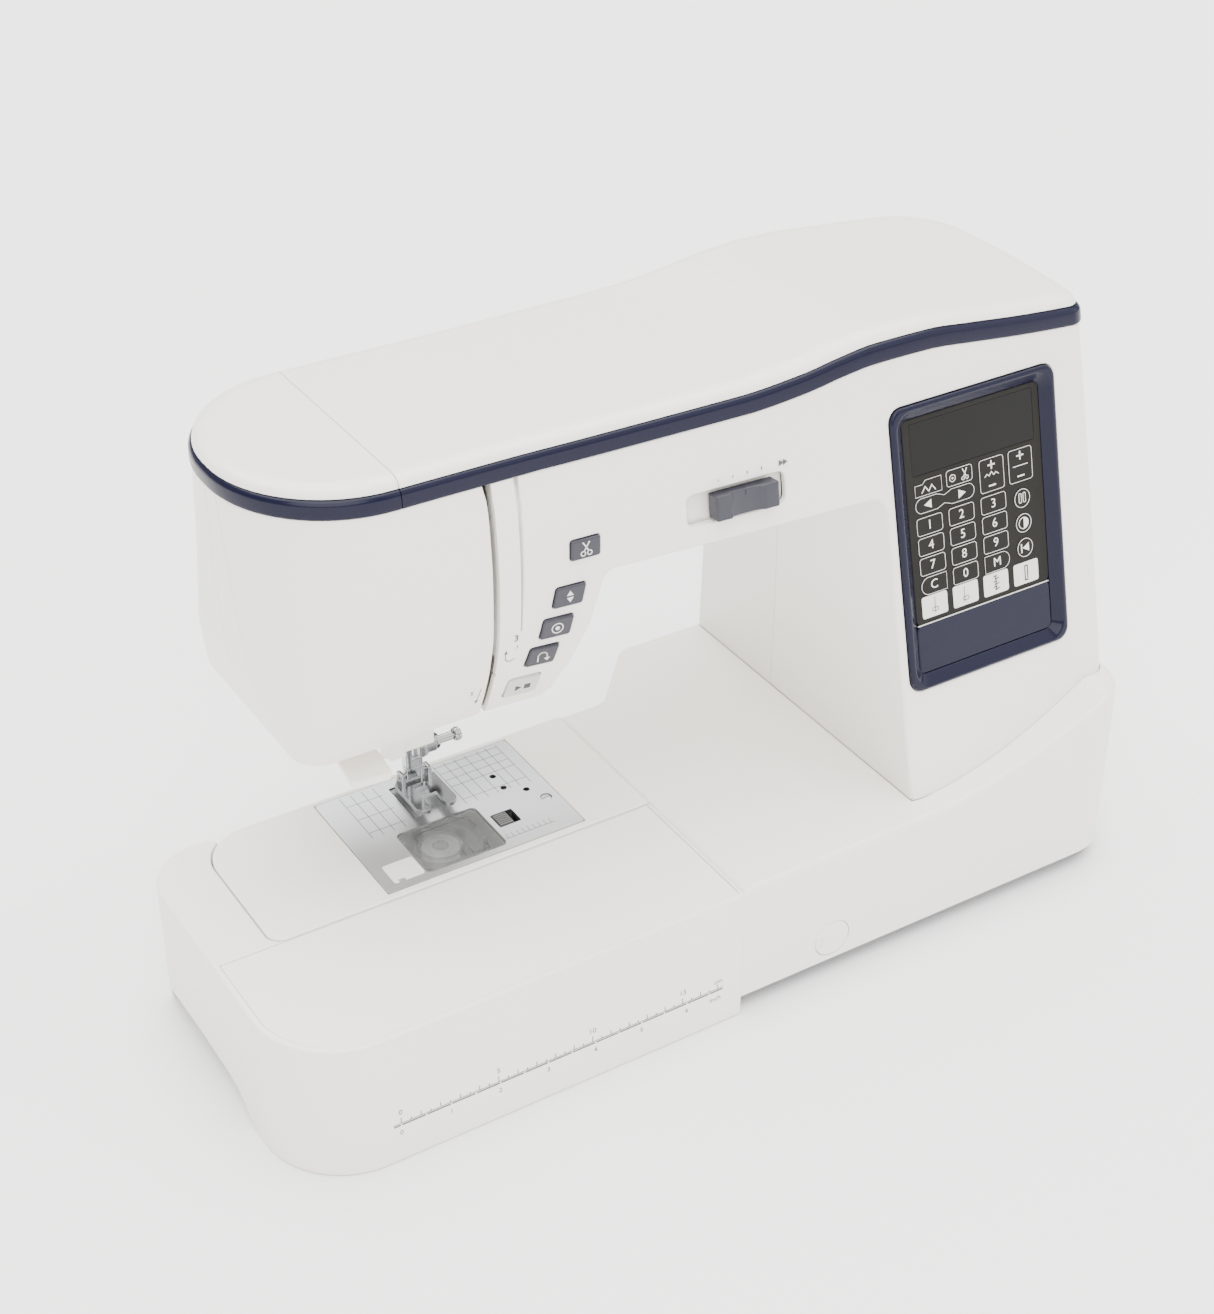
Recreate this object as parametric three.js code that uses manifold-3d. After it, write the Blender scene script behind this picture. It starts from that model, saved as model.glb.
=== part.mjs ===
// A computerised household sewing machine with its extension table fitted.
//
// Frame while modelling, in millimetres: x runs from the table's left end to the right end,
// y from the front of the base to the back, z up from the surface that it stands on.
// The finished group is moved so that its origin is at the middle of the footprint.

import * as THREE from 'three';
import { mergeVertices } from 'three/addons/utils/BufferGeometryUtils.js';
import Module from 'manifold-3d';

const wasm = await Module();
wasm.setup();

// ---- driving dimensions -------------------------------------------------------------------

const LENGTH = 492;                 // table's left end to the outside of the handwheel
const DEPTH = 214;                  // front of the base to the folded carrying handle
const BED_TOP = 75;                 // height of the bed and of the extension table
const WALL = 3;                     // thickness of the moulded covers
const GAP = 0.3;                    // clearance left between neighbouring pieces

const COLUMN_LEFT = 344;            // the throat's right wall
const COLUMN_FOOT_FRONT = 15.6;     // front of the column where it meets the bed
const COLUMN_LEAN = 0.2424;         // how far the column's front leans back for each mm of height
const ARM_UNDERSIDE = 229;
const HEAD_BOTTOM = 160;
const HEAD_RIGHT_TOP = 198;         // the head's right edge where it meets the arm's underside
const HEAD_RIGHT_BOTTOM = 174;
const TRIM_HEIGHT = 8.5;
const TRIM_PROUD = 1;               // the trim stands out from the covers by this much
const TRIM_GAP = 0.4;               // shadow gap under the trim
const PARTING = 137.5;              // y of the seam between the front and the rear cover

const NEEDLE = { x: 140, y: 146 };
const PRESSER_BAR = { x: 140, y: 162 };
const HOOK = { x: 135, y: 119 };
const SHAFT = { y: 128, z: 246 };
const FREE_ARM = { left: 30, right: 233.2, front: 84.2, back: 171, bottom: 14 };
const PLATE = { left: 91.2, right: 198.8, front: 88.2, back: 167.8, thickness: 2 };
const BASE = { left: 233.6, front: 2, back: 209, bottom: 9 };
const SEAM_FACE_COVER = 141.7;      // x of the face cover's right edge
const LID_LEFT = 102.5;             // x of the seam between the head cap and the top lid

// ---- small tools --------------------------------------------------------------------------

const machine = new THREE.Group();

function toSolid(geometry) {
  geometry.deleteAttribute('normal');
  geometry.deleteAttribute('uv');
  const merged = mergeVertices(geometry, 1e-4);
  const index = merged.index.array;
  return new wasm.Manifold(new wasm.Mesh({
    numProp: 3,
    vertProperties: new Float32Array(merged.attributes.position.array),
    triVerts: new Uint32Array(index),
  }));
}

function addPiece(name, solid, { color, roughness = 0.5, metalness = 0 }) {
  const { vertProperties, triVerts, numProp } = solid.getMesh();
  const positions = new Float32Array(vertProperties.length / numProp * 3);
  for (let vertex = 0; vertex < vertProperties.length / numProp; vertex++) {
    for (let axis = 0; axis < 3; axis++) {
      positions[3 * vertex + axis] = vertProperties[numProp * vertex + axis];
    }
  }
  const geometry = new THREE.BufferGeometry();
  geometry.setAttribute('position', new THREE.BufferAttribute(positions, 3));
  geometry.setIndex(new THREE.BufferAttribute(new Uint32Array(triVerts), 1));
  geometry.computeVertexNormals();
  const mesh = new THREE.Mesh(geometry, new THREE.MeshStandardMaterial({ color, roughness, metalness }));
  mesh.name = name;
  machine.add(mesh);
  return mesh;
}

function block(x0, x1, y0, y1, z0, z1) {
  const geometry = new THREE.BoxGeometry(x1 - x0, y1 - y0, z1 - z0);
  return toSolid(geometry.translate((x0 + x1) / 2, (y0 + y1) / 2, (z0 + z1) / 2));
}

// A round bar along x, y or z between two values on that axis; centre holds the other two.
function rod(axis, centre, radius, from, to, sides = 20) {
  const geometry = new THREE.CylinderGeometry(radius, radius, to - from, sides);
  const middle = (from + to) / 2;
  if (axis === 'x') {
    geometry.rotateZ(Math.PI / 2).translate(middle, centre[0], centre[1]);
  } else if (axis === 'y') {
    geometry.translate(centre[0], middle, centre[1]);
  } else {
    geometry.rotateX(Math.PI / 2).translate(centre[0], centre[1], middle);
  }
  return toSolid(geometry);
}

// A flat outline pushed along an axis. Outline points are (y, z) for x, (x, z) for y, (x, y) for z.
function prism(axis, points, from, to) {
  const shape = new THREE.Shape(points.map(([u, v]) => new THREE.Vector2(u, v)));
  const geometry = new THREE.ExtrudeGeometry(shape, { depth: to - from, bevelEnabled: false });
  if (axis === 'x') {
    const turn = new THREE.Matrix4().set(0, 0, 1, from, 1, 0, 0, 0, 0, 1, 0, 0, 0, 0, 0, 1);
    geometry.applyMatrix4(turn);
  } else if (axis === 'y') {
    geometry.rotateX(Math.PI / 2).translate(0, to, 0);
  } else {
    geometry.translate(0, 0, from);
  }
  return toSolid(geometry);
}

// A skin through rings of equal point count, each ring anticlockwise from above, lowest first.
function loft(rings) {
  const count = rings[0].length;
  const indices = [];
  for (let level = 0; level < rings.length - 1; level++) {
    for (let i = 0; i < count; i++) {
      const a = level * count + i;
      const b = level * count + (i + 1) % count;
      indices.push(a, b, b + count, a, b + count, a + count);
    }
  }
  const flat = (ring) => ring.map(([x, y]) => new THREE.Vector2(x, y));
  const top = (rings.length - 1) * count;
  for (const [a, b, c] of THREE.ShapeUtils.triangulateShape(flat(rings[0]), [])) {
    indices.push(c, b, a);
  }
  for (const [a, b, c] of THREE.ShapeUtils.triangulateShape(flat(rings.at(-1)), [])) {
    indices.push(top + a, top + b, top + c);
  }
  const geometry = new THREE.BufferGeometry();
  geometry.setAttribute('position', new THREE.Float32BufferAttribute(rings.flat(2), 3));
  geometry.setIndex(indices);
  return toSolid(geometry);
}

// Points on a circle's arc, both ends included, angles in degrees.
function arc(cx, cy, radius, start, end, steps) {
  const points = [];
  for (let i = 0; i <= steps; i++) {
    const angle = THREE.MathUtils.degToRad(start + (end - start) * i / steps);
    points.push([cx + radius * Math.cos(angle), cy + radius * Math.sin(angle)]);
  }
  return points;
}

function roundedBox(x0, x1, y0, y1, radius, steps = 4) {
  return [
    ...arc(x0 + radius, y0 + radius, radius, 180, 270, steps),
    ...arc(x1 - radius, y0 + radius, radius, 270, 360, steps),
    ...arc(x1 - radius, y1 - radius, radius, 0, 90, steps),
    ...arc(x0 + radius, y1 - radius, radius, 90, 180, steps),
  ];
}

// Straight lines through given stations, such as a wall's place at each height.
function between(stations, at) {
  let i = 1;
  while (i < stations.length - 1 && at > stations[i][0]) i++;
  const [a, valueA] = stations[i - 1];
  const [b, valueB] = stations[i];
  const share = THREE.MathUtils.clamp((at - a) / (b - a), 0, 1);
  return valueA + (valueB - valueA) * share;
}

function move(solid, matrix) {
  return solid.transform(matrix.elements);
}

// ---- finishes -----------------------------------------------------------------------------

const IVORY = { color: 0xf4f1ea, roughness: 0.38 };
const NAVY = { color: 0x23264a, roughness: 0.25 };
const SLATE = { color: 0x55535f, roughness: 0.5 };
const STEEL = { color: 0xb9bcc0, roughness: 0.3, metalness: 1 };
const CHROME = { color: 0xd8dadd, roughness: 0.12, metalness: 1 };
const CAST = { color: 0x9c9fa3, roughness: 0.6, metalness: 1 };
const DARK = { color: 0x26262b, roughness: 0.55 };
const RUBBER = { color: 0x3a3a3d, roughness: 0.85 };
const CLEAR = { color: 0xdfe6e8, roughness: 0.1 };

// ---- shape of the upper body --------------------------------------------------------------

// The head's front bulges at its middle and draws back towards the needle.
const HEAD_FRONT = [
  [150, 93], [160, 87], [173, 81], [193, 74], [213, 70], [240, 69], [270, 71], [288, 75], [310, 76],
];
const HEAD_LEFT = [[150, 57], [160, 54], [175, 50], [200, 44], [250, 41.5], [310, 41]];
const HEAD_CORNER = [[150, 13], [160, 15], [200, 38], [250, 54], [310, 59]];
const HEAD_RIGHT = [
  [HEAD_BOTTOM, HEAD_RIGHT_BOTTOM], [182, 183], [202, 190], [ARM_UNDERSIDE, HEAD_RIGHT_TOP],
];
const TOP_EDGE = [
  [40, 295], [100, 294.5], [200, 293.5], [270, 293.6], [305, 296], [325, 299], [345, 301],
  [375, 300.6], [400, 298], [430, 294.5], [465, 291.5], [492, 290],
];
const HEAD_BLEND = [160, 343];      // between these x the front passes from head to column

const topEdge = (x) => between(TOP_EDGE, x);
const rearY = (z) => 206 - 0.04 * (z - BED_TOP);

function frontY(x, z) {
  const head = between(HEAD_FRONT, z);
  const column = COLUMN_FOOT_FRONT + COLUMN_LEAN * (z - BED_TOP);
  const share = THREE.MathUtils.clamp((x - HEAD_BLEND[0]) / (HEAD_BLEND[1] - HEAD_BLEND[0]), 0, 1);
  return head + (column - head) * share;
}

// The right end bows outwards, tapers upwards and is set back at its two corners.
function rightEnd(front, back, z, inset) {
  const widest = 485.5 - 11.5 * THREE.MathUtils.clamp((z - 110) / 190, 0, 1);
  const cornerFront = 10;
  const cornerBack = 32;
  const points = [];
  const endFront = front + cornerFront;
  const endBack = back - cornerBack;
  const bow = (y) => widest - inset - 18 * ((y - 133) / 118) ** 2;
  points.push(...arc(bow(endFront) - cornerFront, endFront, cornerFront, 270, 350, 4));
  for (let i = 1; i <= 5; i++) {
    const y = endFront + (endBack - endFront) * i / 6;
    points.push([bow(y), y]);
  }
  points.push(...arc(bow(endBack) - cornerBack, endBack, cornerBack, 0, 90, 7));
  return points;
}

// One level of the arm and head together; height may be a number or follow the top edge.
function upperRing(height, inset = 0) {
  const at = (x) => (typeof height === 'function' ? height(x) : height);
  const z = at(100);
  const left = between(HEAD_LEFT, z) + inset;
  const radius = between(HEAD_CORNER, z) - inset;
  const front = frontY(100, z) + inset;
  const back = rearY(z) - inset;
  const outline = [
    ...arc(left + radius, back - radius, radius, 90, 180, 8),
    ...arc(left + radius, front + radius, radius, 180, 270, 8),
    ...[125, 160, 200, 240, 280, 320, 343, 380, 420].map((x) => [x, frontY(x, at(x)) + inset]),
    ...rightEnd(frontY(460, at(460)) + inset, back, at(460), inset),
  ];
  return outline.map(([x, y]) => [x, y, at(x)]);
}

function columnRing(z, inset = 0) {
  const left = COLUMN_LEFT + inset;
  const front = frontY(400, z) + inset;
  const back = rearY(z) - inset;
  const radius = 5;
  return [
    ...arc(left + radius, back - radius, radius, 90, 180, 3),
    ...arc(left + radius, front + radius, radius, 180, 270, 3),
    ...rightEnd(front, back, z, inset),
  ].map(([x, y]) => [x, y, z]);
}

function headRing(z, inset = 0) {
  const left = between(HEAD_LEFT, z) + inset;
  const right = between(HEAD_RIGHT, z) - inset;
  const radius = between(HEAD_CORNER, z) - inset;
  const front = frontY(100, z) + inset;
  const back = rearY(z) - inset;
  const rightFront = frontY(right, z) + inset;
  return [
    ...arc(left + radius, back - radius, radius, 90, 180, 8),
    ...arc(left + radius, front + radius, radius, 180, 270, 8),
    [125, front], [160, frontY(160, z) + inset], [right, rightFront], [right, back],
  ].map(([x, y]) => [x, y, z]);
}

// Everything between two surfaces that follow the top edge, offset up or down.
function topBand(low, high) {
  const lower = TOP_EDGE.map(([x, z]) => [x, z + low]);
  const upper = TOP_EDGE.map(([x, z]) => [x, z + high]).reverse();
  return prism('y', [...lower, ...upper], -10, 240);
}

function upperBody(inset) {
  const floor = inset;
  const arm = loft([
    upperRing(ARM_UNDERSIDE + floor, inset), upperRing(245, inset), upperRing(262, inset),
    upperRing(278, inset), upperRing(310 + inset, inset),
  ]);
  const columnLevels = [BED_TOP + GAP - floor, 130, 185, ARM_UNDERSIDE + floor];
  const headLevels = [HEAD_BOTTOM + floor, 173, 193, 213, ARM_UNDERSIDE + floor];
  const column = loft(columnLevels.map((z) => columnRing(z, inset)));
  const head = loft(headLevels.map((z) => headRing(z, inset)));
  return arm.add(column).add(head);
}

const outerBody = upperBody(0);
let shell = outerBody.subtract(upperBody(WALL)).subtract(topBand(-TRIM_HEIGHT - TRIM_GAP, 60));

// Fillet where the arm's underside meets the column.
const fillet = prism('y', [
  [COLUMN_LEFT - 9, ARM_UNDERSIDE + 1], [COLUMN_LEFT - 3, ARM_UNDERSIDE - 3],
  [COLUMN_LEFT + 1, ARM_UNDERSIDE - 9], [COLUMN_LEFT + 1, ARM_UNDERSIDE + 1],
], 50, 204);
const frontLimit = prism('x', [
  [frontY(344, 215) + 1, 215], [206, 215], [206, 235], [frontY(344, 235) + 1, 235],
], COLUMN_LEFT - 12, COLUMN_LEFT + 4);
shell = shell.add(fillet.intersect(frontLimit));

// Working openings: needle bar and lifter under the head, thread channels, handwheel.
shell = shell
  .subtract(block(104, 160, 130, 176, HEAD_BOTTOM - 2, HEAD_BOTTOM + 6))
  .subtract(block(148, 160, 168, 208, HEAD_BOTTOM - 2, 186))
  .subtract(block(154.9, 156.3, 60, 84, 203, 300))
  .subtract(rod('x', [SHAFT.y, SHAFT.z], 33, 470, 492, 40))
  .subtract(block(80, 90, 110, 120, HEAD_BOTTOM - 2, HEAD_BOTTOM + 6));

// ---- control panel, buttons and speed slider ----------------------------------------------

const PANEL = { x: 398, z: 199.4, width: 99, height: 143, depth: 5, proud: 1.6 };
const panelFrame = new THREE.Object3D();
panelFrame.position.set(PANEL.x, frontY(PANEL.x, PANEL.z), PANEL.z);
panelFrame.rotation.x = -Math.atan(COLUMN_LEAN);
panelFrame.updateMatrix();
const halfWidth = PANEL.width / 2;
const halfHeight = PANEL.height / 2;

function onPanel(x0, x1, z0, z1, radius, y0, y1) {
  return prism('y', roundedBox(x0, x1, z0, z1, radius), y0, y1);
}

const bezelPocket = onPanel(
  -halfWidth - GAP, halfWidth + GAP, -halfHeight - GAP, halfHeight + GAP, 7, -8, PANEL.depth - 1);
shell = shell.subtract(move(bezelPocket, panelFrame.matrix));

const KEYPAD = { half: 41, bottom: -39, top: 36.2, screenTop: 63.8 };
const bezel = onPanel(-halfWidth, halfWidth, -halfHeight, halfHeight, 7, -PANEL.proud, PANEL.depth - 1 - GAP)
  .subtract(onPanel(-KEYPAD.half - GAP, KEYPAD.half + GAP, KEYPAD.bottom - GAP,
    KEYPAD.screenTop + GAP, 3, -PANEL.proud - 1, 2));
addPiece('panel_bezel', move(bezel, panelFrame.matrix), NAVY);
const keypad = onPanel(-KEYPAD.half, KEYPAD.half, KEYPAD.bottom, KEYPAD.top - GAP, 2, -0.4, 2 - GAP);
addPiece('keypad_membrane', move(keypad, panelFrame.matrix), DARK);
const screen = onPanel(-KEYPAD.half, KEYPAD.half, KEYPAD.top, KEYPAD.screenTop, 2, -0.4, 2 - GAP);
addPiece('display_screen', move(screen, panelFrame.matrix), DARK);

// A frame lying on the front surface, with its own z up the surface and y into the machine.
function surfaceFrame(x, z) {
  const step = 3;
  const up = (frontY(x, z + step) - frontY(x, z - step)) / (2 * step);
  const along = (frontY(x + step, z) - frontY(x - step, z)) / (2 * step);
  const right = new THREE.Vector3(1, along, 0).normalize();
  const rise = new THREE.Vector3(0, up, 1).normalize();
  const inwards = new THREE.Vector3().crossVectors(rise, right).normalize();
  const top = new THREE.Vector3().crossVectors(right, inwards).normalize();
  return new THREE.Matrix4().makeBasis(right, inwards, top).setPosition(x, frontY(x, z), z);
}

const BUTTON_PROUD = 1.4;
const BUTTONS = [
  { name: 'thread_cut_button', x: 187, z: 244.3, width: 14.4, height: 9.6, skew: 0.3, finish: SLATE },
  { name: 'needle_position_button', x: 178.8, z: 222.2, width: 14.4, height: 10, skew: 2, finish: SLATE },
  { name: 'lock_stitch_button', x: 173, z: 206.8, width: 14.4, height: 10.4, skew: 1.8, finish: SLATE },
  { name: 'reverse_button', x: 167.4, z: 191.4, width: 13.8, height: 10.6, skew: 2.2, finish: SLATE },
  { name: 'start_stop_button', x: 160.5, z: 173.4, width: 15.5, height: 11.5, skew: 1.6, finish: CLEAR },
];
for (const { name, x, z, width, height, skew, finish } of BUTTONS) {
  const frame = surfaceFrame(x, z);
  const face = (grow) => [
    [-width / 2 - skew / 2 - grow, -height / 2 - grow], [width / 2 - skew / 2 + grow, -height / 2 - grow],
    [width / 2 + skew / 2 + grow, height / 2 + grow], [-width / 2 + skew / 2 - grow, height / 2 + grow],
  ];
  shell = shell.subtract(move(prism('y', face(0.4), -5, 6), frame));
  addPiece(name, move(prism('y', face(0), -BUTTON_PROUD, 4), frame), finish);
}

const SLIDER = { x: 267, z: 247.5, slotLeft: 239, slotRight: 290, slotHeight: 15, left: 251, right: 284 };
const sliderFrame = surfaceFrame(SLIDER.x, SLIDER.z);
const slot = prism('y', roundedBox(SLIDER.slotLeft - SLIDER.x, SLIDER.slotRight - SLIDER.x,
  -SLIDER.slotHeight / 2, SLIDER.slotHeight / 2, 3, 3), -4, 5);
shell = shell.subtract(move(slot, sliderFrame));
const knobLeft = SLIDER.left - SLIDER.x;
const knobRight = SLIDER.right - SLIDER.x;
const knob = prism('y', roundedBox(knobLeft, knobRight, -6, 6, 2, 3), -3.2, 2.6)
  .add(block(-2.2, 3.2, -6.2, -3, -5.4, 5.4));
addPiece('speed_slider', move(knob, sliderFrame), NAVY);

// ---- the covers, cut from the one shell -----------------------------------------------------

// The face cover's rear seam leans back a little as it rises.
const faceRegion = prism('x', [[20, 150], [107.5, 150], [107.5, 160], [128, 294], [129, 310], [20, 310]],
  20, SEAM_FACE_COVER);
const faceGap = prism('x', [[20, 150], [107.9, 150], [107.9, 160], [128.4, 294], [129.4, 310], [20, 310]],
  20, 144.8);
const frontRegion = block(20, 500, 0, PARTING, 60, 320);
addPiece('face_cover', shell.intersect(faceRegion), IVORY);
addPiece('front_cover', shell.intersect(frontRegion).subtract(faceGap), IVORY);

let rear = shell.intersect(block(20, 500, PARTING + GAP, 260, 60, 320));
const HANDLE = { left: 190, right: 330, y: 205.5, z: 262, drop: 20 };
for (const x of [HANDLE.left, HANDLE.right]) {
  rear = rear.add(block(x - 4, x + 4, rearY(262) - 2, 209.5, 256, 268));
}
rear = rear.subtract(rod('x', [HANDLE.y, HANDLE.z], 3 + GAP, HANDLE.left - 10, HANDLE.right + 10));
for (let i = 0; i < 8; i++) {
  rear = rear.subtract(block(374 + 10 * i, 379 + 10 * i, 195, 212, 110, 140));
}
addPiece('rear_cover', rear, IVORY);

const handleBar = block(HANDLE.left + 4.5, HANDLE.left + 12, 202.4, 210, HANDLE.z - HANDLE.drop, HANDLE.z + 4)
  .add(block(HANDLE.right - 12, HANDLE.right - 4.5, 202.4, 210, HANDLE.z - HANDLE.drop, HANDLE.z + 4))
  .add(prism('x', roundedBox(202.4, DEPTH, HANDLE.z - HANDLE.drop - 9, HANDLE.z - HANDLE.drop + 3, 4, 3),
    HANDLE.left + 4.5, HANDLE.right - 4.5))
  .add(rod('x', [HANDLE.y, HANDLE.z], 3, HANDLE.left - 3, HANDLE.left + 8))
  .add(rod('x', [HANDLE.y, HANDLE.z], 3, HANDLE.right - 8, HANDLE.right + 3));
addPiece('carrying_handle', handleBar, IVORY);

// ---- head cap, top lid and their trim -------------------------------------------------------

const rimRing = (drop, inset) => upperRing((x) => topEdge(x) + drop, inset);
const trimBand = loft([rimRing(-TRIM_HEIGHT - 6, -TRIM_PROUD), rimRing(6, -TRIM_PROUD)])
  .subtract(loft([rimRing(-TRIM_HEIGHT - 12, 4), rimRing(12, 4)]))
  .intersect(topBand(-TRIM_HEIGHT, 0));
const LID_RISE = 5;                 // the lid's top stands this far above the trim
const capInside = loft([rimRing(-12, 5), upperRing(325, 5)]).intersect(topBand(-30, LID_RISE - 2.6));
const capSkin = loft([
  rimRing(-6, 0.6), rimRing(2.2, 1.2), rimRing(4.2, 3), rimRing(5.4, 7), upperRing(330, 7),
])
  .intersect(topBand(GAP, LID_RISE))
  .subtract(capInside);
const leftPart = block(20, LID_LEFT - GAP / 2, 0, 260, 250, 330);
const rightPart = block(LID_LEFT + GAP / 2, 500, 0, 260, 250, 330);
addPiece('head_cap', capSkin.intersect(leftPart), IVORY);
addPiece('head_trim', trimBand.intersect(leftPart), NAVY);
addPiece('top_lid', capSkin.intersect(rightPart), IVORY);
addPiece('lid_trim', trimBand.intersect(rightPart), NAVY);

// ---- what is under the lid ------------------------------------------------------------------

const DECK = { top: 269, thickness: 3 };
const SPOOL = { x: 322, y: 150, z: 276 };
const deck = prism('z', roundedBox(152, 452, 84, 190, 12, 3), DECK.top - DECK.thickness, DECK.top)
  .subtract(rod('z', [172, 108], 5, 250, 290))
  .subtract(rod('z', [430, 112], 4, 250, 290))
  .add(block(SPOOL.x - 5, SPOOL.x, SPOOL.y - 7, SPOOL.y + 7, DECK.top - 1, DECK.top + 14));
addPiece('top_deck', deck, IVORY);

const dial = (x, y, radius) => rod('z', [x, y], radius, DECK.top + GAP, DECK.top + 8, 32)
  .add(rod('z', [x, y], 4, DECK.top - 8, DECK.top + 1))
  .add(block(x - 1, x + 1, y - radius + 1, y - 2, DECK.top + 7, DECK.top + 9));
addPiece('thread_tension_dial', dial(172, 108, 13), NAVY);

const winder = rod('z', [430, 112], 3, DECK.top - 4, DECK.top + 14)
  .add(rod('z', [430, 112], 9, DECK.top + GAP, DECK.top + 3, 28));
addPiece('bobbin_winder_spindle', winder, CHROME);
const spool = rod('x', [SPOOL.y, SPOOL.z], 3, SPOOL.x + 3.3, SPOOL.x + 84)
  .add(rod('x', [SPOOL.y, SPOOL.z], 6, SPOOL.x + GAP, SPOOL.x + 4));
addPiece('spool_pin', spool, IVORY);

// ---- frame, shafts and motor ------------------------------------------------------------------

const frame = block(112, 392, 152, 172, 240, 258)
  .add(block(368, 392, 140, 172, 12, 258))
  .add(block(200, 392, 152, 164, 22, 34))
  .add(block(446, 454, 112, 172, 200, 258))
  .add(block(384, 454, 164, 172, 200, 258))
  .subtract(rod('x', [SHAFT.y, SHAFT.z], 5.4, 440, 460))
  .subtract(rod('z', [PRESSER_BAR.x, PRESSER_BAR.y], 3.4, 230, 262));
addPiece('main_frame', frame, CAST);

const PULLEY = { shaft: 16, motor: 6 };
const WHEEL_INNER = 471;
const mainShaft = rod('x', [SHAFT.y, SHAFT.z], 5, 118, WHEEL_INNER - GAP, 20)
  .add(rod('x', [SHAFT.y, SHAFT.z], 13, 118, 125, 28))
  .add(rod('x', [SHAFT.y, SHAFT.z], PULLEY.shaft, 424, 434, 28))
  .add(rod('x', [SHAFT.y, SHAFT.z], 8, 404, 412, 24));
addPiece('main_shaft', mainShaft, STEEL);

const gripped = [];
for (let i = 0; i < 48; i++) {
  const angle = 2 * Math.PI * i / 48;
  const radius = i % 2 ? 30.6 : 31.6;
  gripped.push([SHAFT.y + radius * Math.cos(angle), SHAFT.z + radius * Math.sin(angle)]);
}
const wheel = prism('x', gripped, WHEEL_INNER, LENGTH - 2)
  .add(rod('x', [SHAFT.y, SHAFT.z], 29, WHEEL_INNER, LENGTH, 40))
  .subtract(rod('x', [SHAFT.y, SHAFT.z], 24, LENGTH - 3, LENGTH + 1, 40));
addPiece('handwheel', wheel, IVORY);

const MOTOR = { y: 84, z: 138 };
const motor = rod('x', [MOTOR.y, MOTOR.z], 24, 376, 420, 28)
  .add(block(372, 424, 76, 118, 108, 116))
  .subtract(rod('x', [MOTOR.y, MOTOR.z], 4, 415, 430));
addPiece('motor', motor, CAST);
const motorPulley = rod('x', [MOTOR.y, MOTOR.z], 3, 416, 438)
  .add(rod('x', [MOTOR.y, MOTOR.z], PULLEY.motor, 424.6, 433.4, 20));
addPiece('motor_pulley', motorPulley, STEEL);

// The belt runs round the shaft pulley and the motor pulley: a loop offset from each wheel.
function beltOutline(offset) {
  const points = [];
  const dy = SHAFT.y - MOTOR.y;
  const dz = SHAFT.z - MOTOR.z;
  const lean = THREE.MathUtils.radToDeg(Math.atan2(dz, dy));
  const spread = 180 - THREE.MathUtils.radToDeg(
    Math.acos((PULLEY.shaft - PULLEY.motor) / Math.hypot(dy, dz)));
  points.push(...arc(SHAFT.y, SHAFT.z, PULLEY.shaft + offset, lean - spread, lean + spread, 14));
  points.push(...arc(MOTOR.y, MOTOR.z, PULLEY.motor + offset, lean + spread, lean + 360 - spread, 10));
  return points;
}
const belt = prism('x', beltOutline(2.2), 426, 432).subtract(prism('x', beltOutline(GAP), 420, 440));
addPiece('drive_belt', belt, RUBBER);

const LOWER_SHAFT = { y: 119, z: 30 };
const lowerShaft = rod('x', [LOWER_SHAFT.y, LOWER_SHAFT.z], 4, 146, 412, 16)
  .add(rod('x', [LOWER_SHAFT.y, LOWER_SHAFT.z], 8, 404, 412, 24))
  .add(rod('x', [LOWER_SHAFT.y, LOWER_SHAFT.z], 9, 146, 152, 24));
addPiece('lower_shaft', lowerShaft, STEEL);

// ---- needle, take-up lever and presser foot -----------------------------------------------------

addPiece('needle_bar', rod('z', [NEEDLE.x, NEEDLE.y], 3.1, 112.3, 236), CHROME);
const clamp = rod('z', [NEEDLE.x, NEEDLE.y], 4.2, 102, 112, 20)
  .add(block(NEEDLE.x, NEEDLE.x + 8, NEEDLE.y - 3.2, NEEDLE.y + 3.2, 103, 110))
  .add(block(NEEDLE.x - 6, NEEDLE.x, NEEDLE.y - 4, NEEDLE.y - 2, 102, 105))
  .subtract(rod('z', [NEEDLE.x, NEEDLE.y], 1.3, 100, 110))
  .subtract(rod('x', [NEEDLE.y, 106.5], 1.8, NEEDLE.x + 2, NEEDLE.x + 12, 16));
addPiece('needle_clamp', clamp, CHROME);
const clampScrew = rod('x', [NEEDLE.y, 106.5], 1.6, NEEDLE.x + 2.2, NEEDLE.x + 12, 16)
  .add(rod('x', [NEEDLE.y, 106.5], 2.2, NEEDLE.x + 8.3, NEEDLE.x + 18, 16))
  .add(rod('x', [NEEDLE.y, 106.5], 3.4, NEEDLE.x + 18, NEEDLE.x + 22, 16));
addPiece('needle_clamp_screw', clampScrew, CHROME);
const needle = rod('z', [NEEDLE.x, NEEDLE.y], 1, 96, 109, 12)
  .add(rod('z', [NEEDLE.x, NEEDLE.y], 0.6, 81, 97, 12));
addPiece('needle', needle, CHROME);

const TAKE_UP = { x: 142.4, y: 112, z: 232 };
const takeUp = prism('x', [
  [118, 226], [118, 238], [92, 262], [81, 276], [78, 278], [76.5, 274], [84, 262], [104, 234], [106, 226],
], TAKE_UP.x, TAKE_UP.x + 1.8).subtract(rod('x', [TAKE_UP.y, TAKE_UP.z], 2.1, TAKE_UP.x - 2, TAKE_UP.x + 4));
addPiece('take_up_lever', takeUp, CHROME);

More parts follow.
